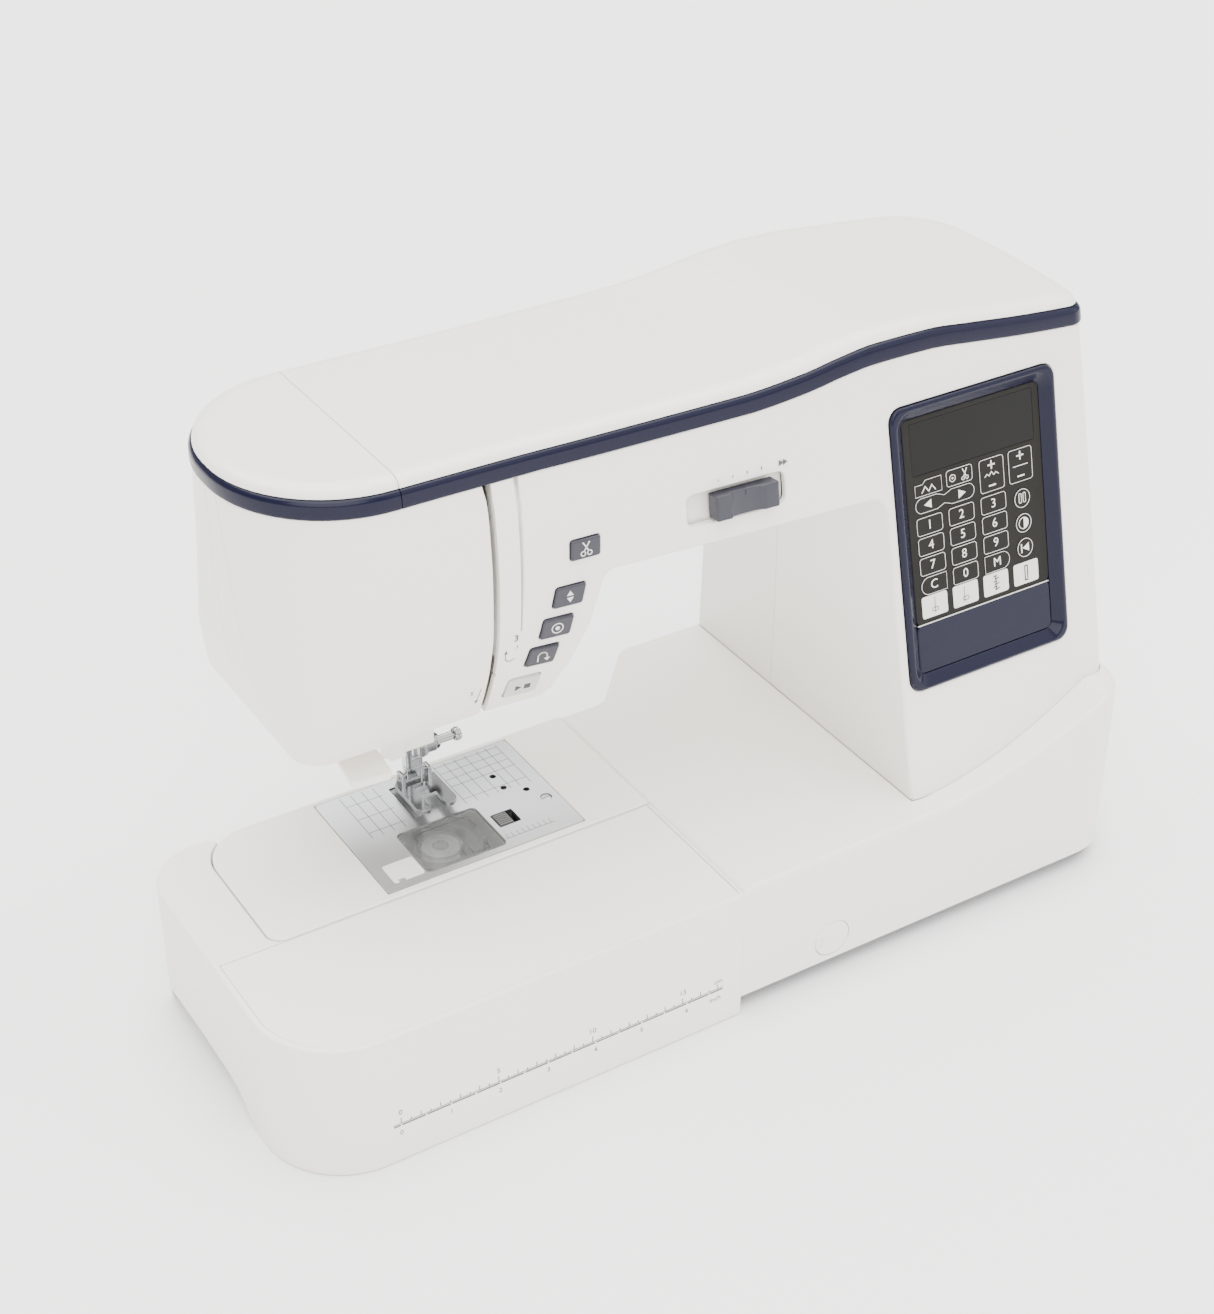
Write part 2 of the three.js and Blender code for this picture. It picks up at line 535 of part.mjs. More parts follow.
const presserBar = rod('z', [PRESSER_BAR.x, PRESSER_BAR.y], 3, 92, 254, 18);
addPiece('presser_bar', presserBar, CHROME);
const PIVOT = { y: 154, z: 86 };
const shank = block(135.5, 144.5, 152.5, 158.6, 84.6, 106)
  .add(block(135, 145, 152, 156, 83.6, 90))
  .add(rod('x', [PIVOT.y, PIVOT.z], 0.9, 131, 149, 12))
  .add(block(137, 149, 154, 158.4, 94, 102))
  .subtract(rod('x', [157, 98], 1.9, 144, 152, 14));
addPiece('foot_holder', shank, CHROME);
const footScrew = rod('x', [157, 98], 1.7, 145, 153, 14)
  .add(rod('x', [157, 98], 4.2, 150, 155, 20));
addPiece('foot_screw', footScrew, DARK);

const sole = prism('z', [
  [129, 131], [134.5, 127.5], [136, 131], [136, 139], [144, 139], [144, 131], [145.5, 127.5], [151, 131],
  [151, 154], [148, 158], [132, 158], [129, 154],
], 79.5, 81.8)
  .subtract(block(136.2, 143.8, 143, 149, 78, 83))
  .add(block(131.5, 133.8, 151, 157, 81, 88))
  .add(block(146.2, 148.5, 151, 157, 81, 88))
  .subtract(rod('x', [PIVOT.y, PIVOT.z], 1.2, 128, 152, 12));
addPiece('presser_foot', sole, CHROME);

const lifter = prism('x', [
  [171, 172], [171, 148], [176, 144], [202, 146], [204, 150], [178, 151], [178, 172],
], 151, 157).subtract(rod('x', [175, 168], 2.1, 145, 160, 16));
addPiece('presser_lifter', lifter, IVORY);

const threader = block(82, 88, 112, 118, 146, 196)
  .add(prism('z', [[76, 86], [96, 84], [99, 92], [94, 117], [80, 119]], 142.5, 146.3));
addPiece('threader_lever', threader, IVORY);

const guard = block(106.5, 134, 118, 120.5, 128, 159.6)
  .add(prism('y', [[104.5, 150], [118, 150], [118, 127], [110, 127], [106.5, 132]], 116, 118.6))
  .add(block(106.5, 112, 120, 129.5, 154, 159.6));
addPiece('thread_guard', guard, IVORY);

// ---- base ---------------------------------------------------------------------------------------

// The base's top edge sweeps up round the column towards the right end.
const baseTop = (x) => BED_TOP + 30 * THREE.MathUtils.clamp((x - COLUMN_LEFT) / 112, 0, 1) ** 1.8;

function baseRing(height, inset = 0) {
  const at = (x) => (typeof height === 'function' ? height(x) : height);
  const left = BASE.left + inset;
  const front = BASE.front + inset;
  const back = BASE.back - inset;
  const notch = FREE_ARM.back - inset;
  const corner = 26;
  const bow = (y) => 487.5 - inset - 18 * ((y - 133) / 124) ** 2;
  const outline = [
    [left, front], [290, front], [344, front], [380, front], [410, front],
    ...arc(bow(front + corner) - corner, front + corner, corner, 270, 355, 6),
    [bow(60), 60], [bow(95), 95], [bow(133), 133], [bow(160), 160],
    ...arc(bow(back - 28) - 28, back - 28, 28, 0, 90, 6),
    [400, back], [344, back], [306, back], ...arc(300, back - 14, 14, 90, 130, 2),
    [262, notch + 2], [254, notch], [left, notch],
  ];
  return outline.map(([x, y]) => [x, y, at(x)]);
}

const columnPlug = loft([BED_TOP - 1, 130].map((z) => columnRing(z, -GAP)));
const sweep = [BASE.left - 5, 290, 344, 362, 380, 395, 410, 425, 440, 456, 500].map((x) => [x, baseTop(x)]);
const underSweep = prism('y', [[BASE.left - 5, 0], [500, 0], ...sweep.reverse()], -10, 240);
const baseSkirt = loft([
  baseRing(BASE.bottom, 0), baseRing((x) => baseTop(x) - 4, 0), baseRing((x) => baseTop(x) - 1.2, 1),
  baseRing((x) => baseTop(x) + 0.6, 3.4), baseRing(140, 3.4),
]).intersect(underSweep);
const baseInside = loft([baseRing(BASE.bottom - 2, WALL), baseRing(BED_TOP - WALL, WALL)]);
const CAP = { x: 288, z: 22.6, radius: 10 };
const INLET = { y0: 142, y1: 168, z0: 30, z1: 48 };
const SWITCH = { y0: 112, y1: 132, z0: 32, z1: 46 };
const baseHousing = baseSkirt
  .subtract(baseInside)
  .subtract(columnPlug)
  .subtract(prism('z', roundedBox(356, 460, 40, 190, 6, 3), 60, 90))
  .subtract(block(230, 240, FREE_ARM.front - 0.2, 166, BASE.bottom + 3, BED_TOP - WALL))
  .subtract(rod('y', [CAP.x, CAP.z], CAP.radius + GAP, -2, 10, 32))
  .subtract(block(478, 494, INLET.y0 - GAP, INLET.y1 + GAP, INLET.z0 - GAP, INLET.z1 + GAP))
  .subtract(block(478, 494, SWITCH.y0 - 0.6, SWITCH.y1 + 0.6, SWITCH.z0 - 0.6, SWITCH.z1 + 0.6));
addPiece('base_housing', baseHousing, IVORY);

const accessCap = rod('y', [CAP.x, CAP.z], CAP.radius, 1.6, 5, 32)
  .add(rod('y', [CAP.x, CAP.z], 7, 4, 11, 24));
addPiece('access_cap', accessCap, IVORY);
const inlet = block(470, 486.5, INLET.y0, INLET.y1, INLET.z0, INLET.z1)
  .subtract(block(474, 490, INLET.y0 + 3, INLET.y1 - 3, INLET.z0 + 4, INLET.z1 - 4))
  .add(rod('x', [150, 39], 1.2, 473, 484, 10))
  .add(rod('x', [160, 39], 1.2, 473, 484, 10));
addPiece('power_inlet', inlet, DARK);
const rocker = prism('x', roundedBox(SWITCH.y0, SWITCH.y1, SWITCH.z0, SWITCH.z1, 1.5, 2), 481, 488);
addPiece('power_switch', rocker, DARK);

const FOOT_HEIGHT = 5.3;
const pan = loft([baseRing(FOOT_HEIGHT + GAP, 1.5), baseRing(BASE.bottom - GAP, 1.5)]);
addPiece('base_plate', pan, SLATE);
const FEET = { front_left: [252, 22], front_right: [450, 34], rear_left: [322, 190], rear_right: [448, 186] };
for (const [place, [x, y]] of Object.entries(FEET)) {
  addPiece(`rubber_foot_${place}`, rod('z', [x, y], 9, 0, FOOT_HEIGHT, 24), RUBBER);
}

// ---- free arm, hook and needle plate ---------------------------------------------------------------

const armOutline = (inset) => [
  ...arc(FREE_ARM.left + 24, FREE_ARM.back - 24, 24 - inset, 90, 180, 5),
  ...arc(FREE_ARM.left + 8, FREE_ARM.front + 8, 8 - inset, 180, 270, 3),
  [FREE_ARM.right + (inset ? 5 : 0), FREE_ARM.front + inset],
  [FREE_ARM.right + (inset ? 5 : 0), FREE_ARM.back - inset],
];
const freeArm = prism('z', armOutline(0), FREE_ARM.bottom, BED_TOP)
  .subtract(prism('z', armOutline(WALL), FREE_ARM.bottom + WALL, BED_TOP - 4.4))
  .subtract(block(PLATE.left - GAP, PLATE.right + GAP, PLATE.front - GAP, PLATE.back + GAP,
    BED_TOP - PLATE.thickness - GAP, BED_TOP + 2))
  .subtract(block(PLATE.left + 5, PLATE.right - 5, PLATE.front + 2, PLATE.back - 5, 60, BED_TOP + 2))
  .subtract(block(196, 216, 160, 176, 30, 36));
addPiece('free_arm', freeArm, IVORY);
const dropLever = block(202, 207, 164, 169.8, 31, 35).add(block(201, 208, 171.4, 173.6, 30.4, 35.6))
  .add(block(203, 206, 169, 172, 31.5, 34.5));
addPiece('drop_feed_lever', dropLever, SLATE);

const COVER = { left: 114.4, right: 157.6, front: 92, back: 126 };
const plateTop = BED_TOP + 0.2;
const plate = prism('z', roundedBox(PLATE.left, PLATE.right, PLATE.front, PLATE.back, 2, 2),
  BED_TOP - PLATE.thickness, plateTop)
  .subtract(block(COVER.left - GAP, COVER.right + GAP, COVER.front - GAP, COVER.back + GAP, 70, 78))
  .subtract(block(160.6, 172.6, 104.6, 115.4, 70, 78))
  .subtract(rod('z', [NEEDLE.x, NEEDLE.y], 3.4, 70, 78, 16))
  .subtract(rod('z', [178, 143], 1.7, 70, 78, 12))
  .subtract(rod('z', [178, 132], 1.7, 70, 78, 12))
  .subtract(rod('z', [187, 125], 1.7, 70, 78, 12));
const TEETH = [131.2, 148.8].map((x) => ({ x, front: 134, back: 160 }));
const slots = TEETH.map(({ x, front, back }) => block(x - 2.6, x + 2.6, front - 1, back + 1, 70, 78));
addPiece('needle_plate', slots.reduce((solid, cut) => solid.subtract(cut), plate), STEEL);
addPiece('hook_cover',
  block(COVER.left, COVER.right, COVER.front, COVER.back, BED_TOP - 1.8, plateTop), CLEAR);
let release = block(161, 169, 105, 115, 69, BED_TOP + 0.6);
for (let i = 0; i < 5; i++) {
  release = release.subtract(block(160, 170, 106 + 1.9 * i, 106.8 + 1.9 * i, BED_TOP, BED_TOP + 2));
}
addPiece('cover_release_button', release, DARK);

let feedDog = block(128.6, 151.4, 143.8, 161, 67, 70.4);
for (const { x, front, back } of TEETH) {
  const teeth = [[front, 70], [back, 70]];
  for (let i = 10; i >= 0; i--) {
    const y = front + (back - front) * i / 10;
    teeth.push([y, i % 2 ? 75.1 : 74.2]);
  }
  feedDog = feedDog.add(prism('x', teeth, x - 2, x + 2));
}
feedDog = feedDog.subtract(rod('z', [NEEDLE.x, NEEDLE.y], 4, 60, 72, 16));
addPiece('feed_dog', feedDog, STEEL);

const turned = (profile, sides = 32) => {
  const points = profile.map(([radius, z]) => new THREE.Vector2(radius, z));
  const geometry = new THREE.LatheGeometry(points, sides);
  return toSolid(geometry.rotateX(Math.PI / 2).translate(HOOK.x, HOOK.y, 0));
};
const hookRace = turned([
  [0, 36], [9, 36], [9, 42], [24, 45], [24.6, 64], [22.4, 64], [21.6, 48], [0, 46], [0, 36],
]);
addPiece('rotary_hook', hookRace, STEEL);
const bobbinCase = turned([
  [0, 49], [20.6, 51], [21.4, 64], [21.4, 66.5], [19.4, 66.5], [18.6, 64], [13, 64], [11.6, 53.6],
  [0, 53.6], [0, 49],
]);
addPiece('bobbin_holder', bobbinCase, DARK);
const bobbin = turned([
  [0, 54], [10.8, 54], [10.8, 55.2], [4, 55.4], [4, 63.6], [10.8, 63.8], [10.8, 65], [0, 65], [0, 54],
]);
addPiece('bobbin', bobbin, CLEAR);

// ---- extension table -----------------------------------------------------------------------------

const TABLE = { right: 233.2, back: 171, corner: 42, armGap: 0.6 };
const tableEdge = (inset) => [
  ...arc(TABLE.corner, TABLE.corner, TABLE.corner - inset, 180, 270, 10),
  [TABLE.right - inset, inset],
];
const armSide = FREE_ARM.front - TABLE.armGap;
const armEnd = FREE_ARM.left - TABLE.armGap;
const tableOutline = [
  ...tableEdge(0), [TABLE.right, armSide], [armEnd + 8, armSide],
  ...arc(armEnd + 8, armSide + 8, 8, 270, 180, 3),
  ...arc(armEnd + 24, TABLE.back - 24 + TABLE.armGap, 24, 180, 125, 3),
  [36, TABLE.back], ...arc(28, TABLE.back - 28, 28, 90, 180, 6),
];
const lidLine = 3.2;
const lidOutline = (grow) => [
  ...arc(TABLE.corner, TABLE.corner, TABLE.corner - lidLine + grow, 180, 270, 10),
  [231 + grow, lidLine - grow], [231 + grow, armSide + 3], [lidLine - grow, armSide + 3],
];
const STORAGE = { left: 14, right: 224, front: 12, back: 76, floor: 8 };
const lidRecess = prism('z', lidOutline(GAP), BED_TOP - 3.3, BED_TOP + 5)
  .intersect(block(-5, 240, -5, armSide - 0.6, 0, 99));
const table = prism('z', tableOutline, 0, BED_TOP)
  .subtract(prism('z', roundedBox(STORAGE.left, STORAGE.right, STORAGE.front, STORAGE.back, 10, 3),
    STORAGE.floor, 90))
  .subtract(lidRecess)
  .subtract(prism('z', roundedBox(4, 26, 88, 160, 6, 2), -2, BED_TOP - WALL))
  .subtract(prism('x', [[52, -1], [66, 12], [80, 15], [135, 16], [152, 14], [158, -1]], -4, 32));
addPiece('extension_table', table, IVORY);
const tableLid = prism('z', lidOutline(0), BED_TOP - 3, BED_TOP)
  .intersect(block(-5, 240, -5, armSide - 0.9, 0, 99));
addPiece('table_lid', tableLid, IVORY);

machine.position.set(-LENGTH / 2, -DEPTH / 2, 0);
machine.updateMatrixWorld(true);

export default machine;
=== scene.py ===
import math

import bmesh
import bpy
from mathutils import Matrix, Vector


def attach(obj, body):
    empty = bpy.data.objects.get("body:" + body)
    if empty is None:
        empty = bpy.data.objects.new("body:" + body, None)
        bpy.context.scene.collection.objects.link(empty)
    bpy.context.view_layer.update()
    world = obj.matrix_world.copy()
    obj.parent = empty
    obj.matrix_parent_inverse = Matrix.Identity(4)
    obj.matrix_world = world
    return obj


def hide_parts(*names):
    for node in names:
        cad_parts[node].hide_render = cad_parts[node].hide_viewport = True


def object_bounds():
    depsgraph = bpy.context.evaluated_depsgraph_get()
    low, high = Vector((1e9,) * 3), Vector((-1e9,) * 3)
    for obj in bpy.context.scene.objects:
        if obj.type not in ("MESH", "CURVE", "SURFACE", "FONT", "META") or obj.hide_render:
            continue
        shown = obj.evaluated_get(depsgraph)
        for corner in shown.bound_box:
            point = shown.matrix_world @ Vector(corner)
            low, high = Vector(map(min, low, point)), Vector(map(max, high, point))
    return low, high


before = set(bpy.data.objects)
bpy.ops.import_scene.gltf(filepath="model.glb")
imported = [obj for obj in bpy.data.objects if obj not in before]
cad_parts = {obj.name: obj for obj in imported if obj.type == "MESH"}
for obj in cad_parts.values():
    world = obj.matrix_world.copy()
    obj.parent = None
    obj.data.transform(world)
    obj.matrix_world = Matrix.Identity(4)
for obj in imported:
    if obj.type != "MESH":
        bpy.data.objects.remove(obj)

cad_low, cad_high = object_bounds()

# ---- Camera, floor and light -------------------------------------------------------------
# A table-top camera looks down on the machine from in front of its left end. The floor is a
# pale sweep, and large soft lamps stand over it, so that the ivory covers stay nearly white.

MM = 0.001


def in_place(x, y, z):
    """Millimetres from the left end, from the front and from the table top, as a place."""
    return Vector((cad_low.x + x * MM, cad_low.y + y * MM, z * MM))


camera_data = bpy.data.cameras.new("camera")
camera_data.sensor_width = 36
camera_data.lens = 64.4
camera = bpy.data.objects.new("camera", camera_data)
camera.location = (-0.51846, -0.80006, 0.77509)
camera.rotation_euler = (math.radians(56.471), 0, math.radians(-31.77))
bpy.context.scene.collection.objects.link(camera)
bpy.context.scene.camera = camera


class Wire:
    """A socket in a shader tree. Sums, differences and products of wires add Math nodes."""

    def __init__(self, tree, socket):
        self.tree = tree
        self.socket = socket

    def math(self, operation, *values):
        step = self.tree.nodes.new("ShaderNodeMath")
        step.operation = operation
        for place, value in zip(step.inputs, values):
            if isinstance(value, Wire):
                self.tree.links.new(value.socket, place)
            else:
                place.default_value = value
        return Wire(self.tree, step.outputs[0])

    def __add__(self, other):
        return self.math("ADD", self, other)

    def __sub__(self, other):
        return self.math("SUBTRACT", self, other)

    def __mul__(self, other):
        return self.math("MULTIPLY", self, other)

    __radd__ = __add__
    __rmul__ = __mul__


class Finish:
    """A material under way: its tree, its place on the object, and its Principled shader."""

    def __init__(self, name, **constants):
        self.material = bpy.data.materials.new(name)
        self.material.use_nodes = True
        self.tree = self.material.node_tree
        self.shader = self.tree.nodes["Principled BSDF"]
        self.place = self.node("ShaderNodeTexCoord", output="Object")
        for socket, value in constants.items():
            self.shader.inputs[socket.replace("_", " ")].default_value = value

    def node(self, kind, settings=None, inputs=None, output=0):
        made = self.tree.nodes.new(kind)
        for name, value in (settings or {}).items():
            setattr(made, name, value)
        for name, value in (inputs or {}).items():
            if isinstance(value, Wire):
                self.tree.links.new(value.socket, made.inputs[name])
            else:
                made.inputs[name].default_value = value
        return Wire(self.tree, made.outputs[output])

    def noise(self, scale, detail=2.0, stretch=(1, 1, 1), roughness=0.5):
        where = self.node("ShaderNodeMapping", inputs={"Vector": self.place, "Scale": stretch})
        return self.node("ShaderNodeTexNoise", inputs={
            "Vector": where, "Scale": scale, "Detail": detail, "Roughness": roughness})

    def blend(self, share, first, second):
        return self.node("ShaderNodeMix", {"data_type": "RGBA"},
                         {0: share, 6: first, 7: second}, output=2)

    def bump(self, height, distance):
        return self.node("ShaderNodeBump", inputs={"Height": height, "Distance": distance})

    def set(self, **wires):
        for socket, wire in wires.items():
            self.tree.links.new(wire.socket, self.shader.inputs[socket.replace("_", " ")])
        return self.material


def rgb(red, green, blue):
    return (red, green, blue, 1)


sweep_finish = Finish("studio_sweep", Specular_IOR_Level=0.1)
sweep_tone = sweep_finish.noise(3, 3)
studio_sweep = sweep_finish.set(
    Base_Color=sweep_finish.blend(sweep_tone, rgb(0.93, 0.925, 0.915), rgb(0.95, 0.945, 0.94)),
    Roughness=sweep_tone * 0.1 + 0.85)

bpy.ops.mesh.primitive_plane_add(size=60, location=(0, 0, 0))
floor = bpy.context.object
floor.name = "floor"
floor.data.materials.append(studio_sweep)

world = bpy.data.worlds.new("studio")
world.use_nodes = True
world.node_tree.nodes["Background"].inputs["Color"].default_value = rgb(1, 0.995, 0.985)
world.node_tree.nodes["Background"].inputs["Strength"].default_value = 0.7
bpy.context.scene.world = world

LAMPS = [
    ("top_light", (0.1, 0.35, 2.0), 7.0, 75),
    ("key_light", (-0.9, -1.5, 1.5), 2.9, 55),
    ("fill_light", (1.6, -1.1, 1.2), 1.3, 60),
]
for lamp_name, lamp_place, power, breadth in LAMPS:
    lamp_data = bpy.data.lights.new(lamp_name, "SUN")
    lamp_data.energy = power
    lamp_data.angle = math.radians(breadth)
    lamp = bpy.data.objects.new(lamp_name, lamp_data)
    lamp.location = lamp_place
    lamp.rotation_euler = (-Vector(lamp_place)).to_track_quat("-Z", "Y").to_euler()
    bpy.context.scene.collection.objects.link(lamp)

# ---- Front cover, rear cover and face cover ----------------------------------------------
# Three injection-moulded ABS shells make the head, arm and column. They are screwed to the
# casting from behind and meet at thin seams; the face cover swings open at the needle end.

COVER_WALL = 2.6
HEAD_BOTTOM = 160
ARM_UNDERSIDE = 229
COLUMN_LEFT = 344
TRIM_HEIGHT = 8.5
FACE_SEAM = 141.7
PARTING = 137.5
BED_TOP = 75
COLUMN_SLOPE = 0.2424
SHOULDER = 262
HEAD_FRONT = [(150, 93), (160, 87), (173, 81), (193, 74), (213, 70), (240, 69), (270, 71), (288, 75),
              (310, 76)]
HEAD_LEFT = [(150, 57), (160, 54), (175, 50), (200, 44), (250, 41.5), (310, 41)]
HEAD_CORNER = [(150, 13), (160, 15), (200, 38), (250, 54), (310, 59)]
TOP_EDGE = [(20, 295.2), (40, 295), (100, 294.5), (200, 293.5), (270, 293.6), (305, 296), (325, 299),
            (345, 301), (375, 300.6), (400, 298), (430, 294.5), (465, 291.5), (492, 290), (510, 289.4)]


def along(stations, at):
    """A smooth line through stations, flat beyond its ends and never past a station's value."""
    at = min(max(at, stations[0][0]), stations[-1][0])
    place = 1
    while place < len(stations) - 1 and at > stations[place][0]:
        place += 1
    (a, low), (b, high) = stations[place - 1], stations[place]

    def slope(middle):
        if not 0 < middle < len(stations) - 1:
            return 0 if middle else (stations[1][1] - stations[0][1]) / (stations[1][0] - stations[0][0])
        (x0, y0), (x1, y1), (x2, y2) = stations[middle - 1:middle + 2]
        before, after = (y1 - y0) / (x1 - x0), (y2 - y1) / (x2 - x1)
        return 0 if before * after <= 0 else 2 * before * after / (before + after)

    share = (at - a) / (b - a)
    bend_in, bend_out = slope(place - 1) * (b - a), slope(place) * (b - a)
    return ((2 * share ** 3 - 3 * share ** 2 + 1) * low + (share ** 3 - 2 * share ** 2 + share) * bend_in
            + (3 * share ** 2 - 2 * share ** 3) * high + (share ** 3 - share ** 2) * bend_out)


def top_edge(x):
    return along(TOP_EDGE, x)


def rear_y(z):
    return 206 - 0.04 * (z - BED_TOP)


def front_y(x, z):
    """The covers' front: bulged at the head, leaning back at the column, joined smoothly."""
    head_end, blend = 160, 183
    share = (x - head_end) / blend
    softness = 0.05
    if share < softness:
        share = max(share + softness, 0) ** 2 / (4 * softness)
    elif share > 1 - softness:
        share = 1 - max(1 + softness - share, 0) ** 2 / (4 * softness)
    column = 15.6 + COLUMN_SLOPE * (z - BED_TOP)
    return along(HEAD_FRONT, z) + (column - along(HEAD_FRONT, z)) * share


def arc(cx, cy, radius, start, end, steps):
    """Points on a circle's arc, both ends included, angles in degrees."""
    angles = [math.radians(start + (end - start) * i / steps) for i in range(steps + 1)]
    return [(cx + radius * math.cos(a), cy + radius * math.sin(a)) for a in angles]


def rounded_box(x0, x1, y0, y1, radius, steps=6):
    return (arc(x0 + radius, y0 + radius, radius, 180, 270, steps)
            + arc(x1 - radius, y0 + radius, radius, 270, 360, steps)
            + arc(x1 - radius, y1 - radius, radius, 0, 90, steps)
            + arc(x0 + radius, y1 - radius, radius, 90, 180, steps))


def spread(low, high, steps):
    return [low + (high - low) * i / steps for i in range(steps + 1)]


def right_end(front, back, z, inset):
    """The bowed right end, from its front corner round to its rear corner; it tapers upwards."""
    widest = 485.5 - 11.5 * min(max((z - 110) / 190, 0), 1)

    def bow(y):
        return widest - inset - 18 * ((y - 133) / 118) ** 2

    near, far = front + 10, back - 32
    points = arc(bow(near) - 10, near, 10, 270, 350, 9)
    points += [(bow(y), y) for y in spread(near, far, 16)[1:-1]]
    return points + arc(bow(far) - 32, far, 32, 0, 90, 16)


def upper_ring(height, inset=0.0):
    """One level of the body's outline, anticlockwise; height may follow the top edge."""
    def at(x):
        return height(x) if callable(height) else height

    z = at(100)
    left = along(HEAD_LEFT, z) + inset
    radius = along(HEAD_CORNER, z) - inset
    front, back = front_y(100, z) + inset, rear_y(z) - inset
    plan = arc(left + radius, back - radius, radius, 90, 180, 18)
    plan += arc(left + radius, front + radius, radius, 180, 270, 18)
    plan += [(x, front_y(x, at(x)) + inset) for x in spread(125, 448, 36)]
    plan += right_end(front_y(460, at(460)) + inset, back, at(460), inset)
    plan += [(x, back) for x in spread(440, 125, 14)]
    return [(x, y, at(x)) for x, y in plan]


def skin(name, rings, closed=False):
    """A solid through rings of equal count. Closed rings join the last to the first."""
    count = len(rings[0])
    mesh = bpy.data.meshes.new(name)
    corners = [in_place(*point) for ring in rings for point in ring]
    faces = []
    for level in range(len(rings) if closed else len(rings) - 1):
        here, above = level * count, (level + 1) % len(rings) * count
        for i in range(count):
            j = (i + 1) % count
            faces.append((here + i, here + j, above + j, above + i))
    if not closed:
        faces.append(tuple(reversed(range(count))))
        faces.append(tuple(range(len(corners) - count, len(corners))))
    mesh.from_pydata(corners, [], faces)
    return tidy(bpy.data.objects.new(name, mesh))


def tidy(piece, merge=1e-6):
    """Merges doubled corners, turns every face outwards and links the piece to the scene."""
    shape = bmesh.new()
    shape.from_mesh(piece.data)
    bmesh.ops.remove_doubles(shape, verts=shape.verts, dist=merge)
    bmesh.ops.dissolve_degenerate(shape, edges=shape.edges, dist=merge / 10)
    bmesh.ops.recalc_face_normals(shape, faces=shape.faces)
    if shape.calc_volume(signed=True) < 0:
        bmesh.ops.reverse_faces(shape, faces=shape.faces)
    shape.to_mesh(piece.data)
    shape.free()
    if piece.name not in bpy.context.scene.collection.objects:
        bpy.context.scene.collection.objects.link(piece)
    return piece


def prism(name, axis, outline, low, high):
    """An outline pushed along an axis. It is (y, z) for x, (x, z) for y and (x, y) for z."""
    def ring(depth):
        if axis == "x":
            return [(depth, u, v) for u, v in outline]
        if axis == "y":
            return [(u, depth, v) for u, v in outline]
        return [(u, v, depth) for u, v in outline]

    return skin(name, [ring(low), ring(high)])


def block(name, x0, x1, y0, y1, z0, z1):
    return prism(name, "z", [(x0, y0), (x1, y0), (x1, y1), (x0, y1)], z0, z1)


def rod(name, axis, centre, radius, low, high, sides=48):
    return prism(name, axis, arc(*centre, radius, 0, 360, sides)[:-1], low, high)


def baked(piece):
    """Applies a piece's modifiers to its mesh."""
    graph = bpy.context.evaluated_depsgraph_get()
    finished = bpy.data.meshes.new_from_object(piece.evaluated_get(graph))
    piece.modifiers.clear()
    piece.data = finished
    return piece


def combine(piece, operation, *tools, keep=False):
    """Cuts, joins or intersects a piece with other solids, which are then thrown away."""
    for tool in tools:
        step = piece.modifiers.new("cut", "BOOLEAN")
        step.operation = operation
        step.solver = "MANIFOLD"
        step.object = tool
    baked(piece)
    if not keep:
        for tool in tools:
            bpy.data.objects.remove(tool)
    return piece


def copy_of(piece, name):
    twin = bpy.data.objects.new(name, piece.data.copy())
    bpy.context.scene.collection.objects.link(twin)
    return twin


def soften(piece, width, segments=3, angle=35):
    """Rounds the edges that are sharper than an angle; width is in millimetres."""
    edge = piece.modifiers.new("edge", "BEVEL")
    edge.width = width * MM
    edge.segments = segments
    edge.limit_method = "ANGLE"
    edge.angle_limit = math.radians(angle)
    edge.harden_normals = False
    return baked(piece)


def hand_over(piece, material, body, *nodes, slot=None, smooth=32):
    """Gives a finished piece its material, its body and the CAD nodes that it stands for."""
    piece.data.materials.clear()
    piece.data.materials.append(material)
    piece.data.polygons.foreach_set("material_index", [0] * len(piece.data.polygons))
    piece.data.shade_smooth()
    piece.data.set_sharp_from_angle(angle=math.radians(smooth))
    even = piece.modifiers.new("even", "WEIGHTED_NORMAL")
    even.keep_sharp = True
    baked(piece)
    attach(piece, body)
    if nodes:
        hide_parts(*nodes)
    return piece


def moulded(name, tone, shade, gloss, grain=0.00001, **constants):
    """Moulded plastic: a fine spark-eroded grain, slow tone changes and faint handling wear."""
    finish = Finish(name, **constants)
    drift = finish.noise(9, 3)
    grit = finish.noise(2600, 2)
    rub = finish.noise(140, 5, roughness=0.7)
    return finish.set(
        Base_Color=finish.blend(drift * 0.7 + grit * 0.15, tone, shade),
        Roughness=gloss + (rub - 0.5) * 0.12 + (grit - 0.5) * 0.06,
        Normal=finish.bump(grit + rub * 0.6, grain))


ivory_plastic = moulded("ivory_plastic", rgb(0.92, 0.895, 0.835), rgb(0.87, 0.84, 0.77), 0.34,
                        Coat_Weight=0.15, Coat_Roughness=0.12)


def rim(drop):
    """A height that follows the top edge at a distance."""
    return lambda x: top_edge(x) + drop


def above_shoulder(share):
    """A height between the level shoulder and the trim band's lower edge."""
    return lambda x: SHOULDER + (top_edge(x) - TRIM_HEIGHT - 0.4 - SHOULDER) * share


shell_floor = 75.3
outer_rings = [upper_ring(z) for z in spread(shell_floor, SHOULDER, 44)]
outer_rings += [upper_ring(above_shoulder(share)) for share in spread(0, 1, 6)[1:]]
body_outside = skin("body_outside", outer_rings)
inner_rings = [upper_ring(z, COVER_WALL) for z in [70] + spread(80, SHOULDER, 30)]
inner_rings.append(upper_ring(rim(10), COVER_WALL))
body_inside = skin("body_inside", inner_rings)


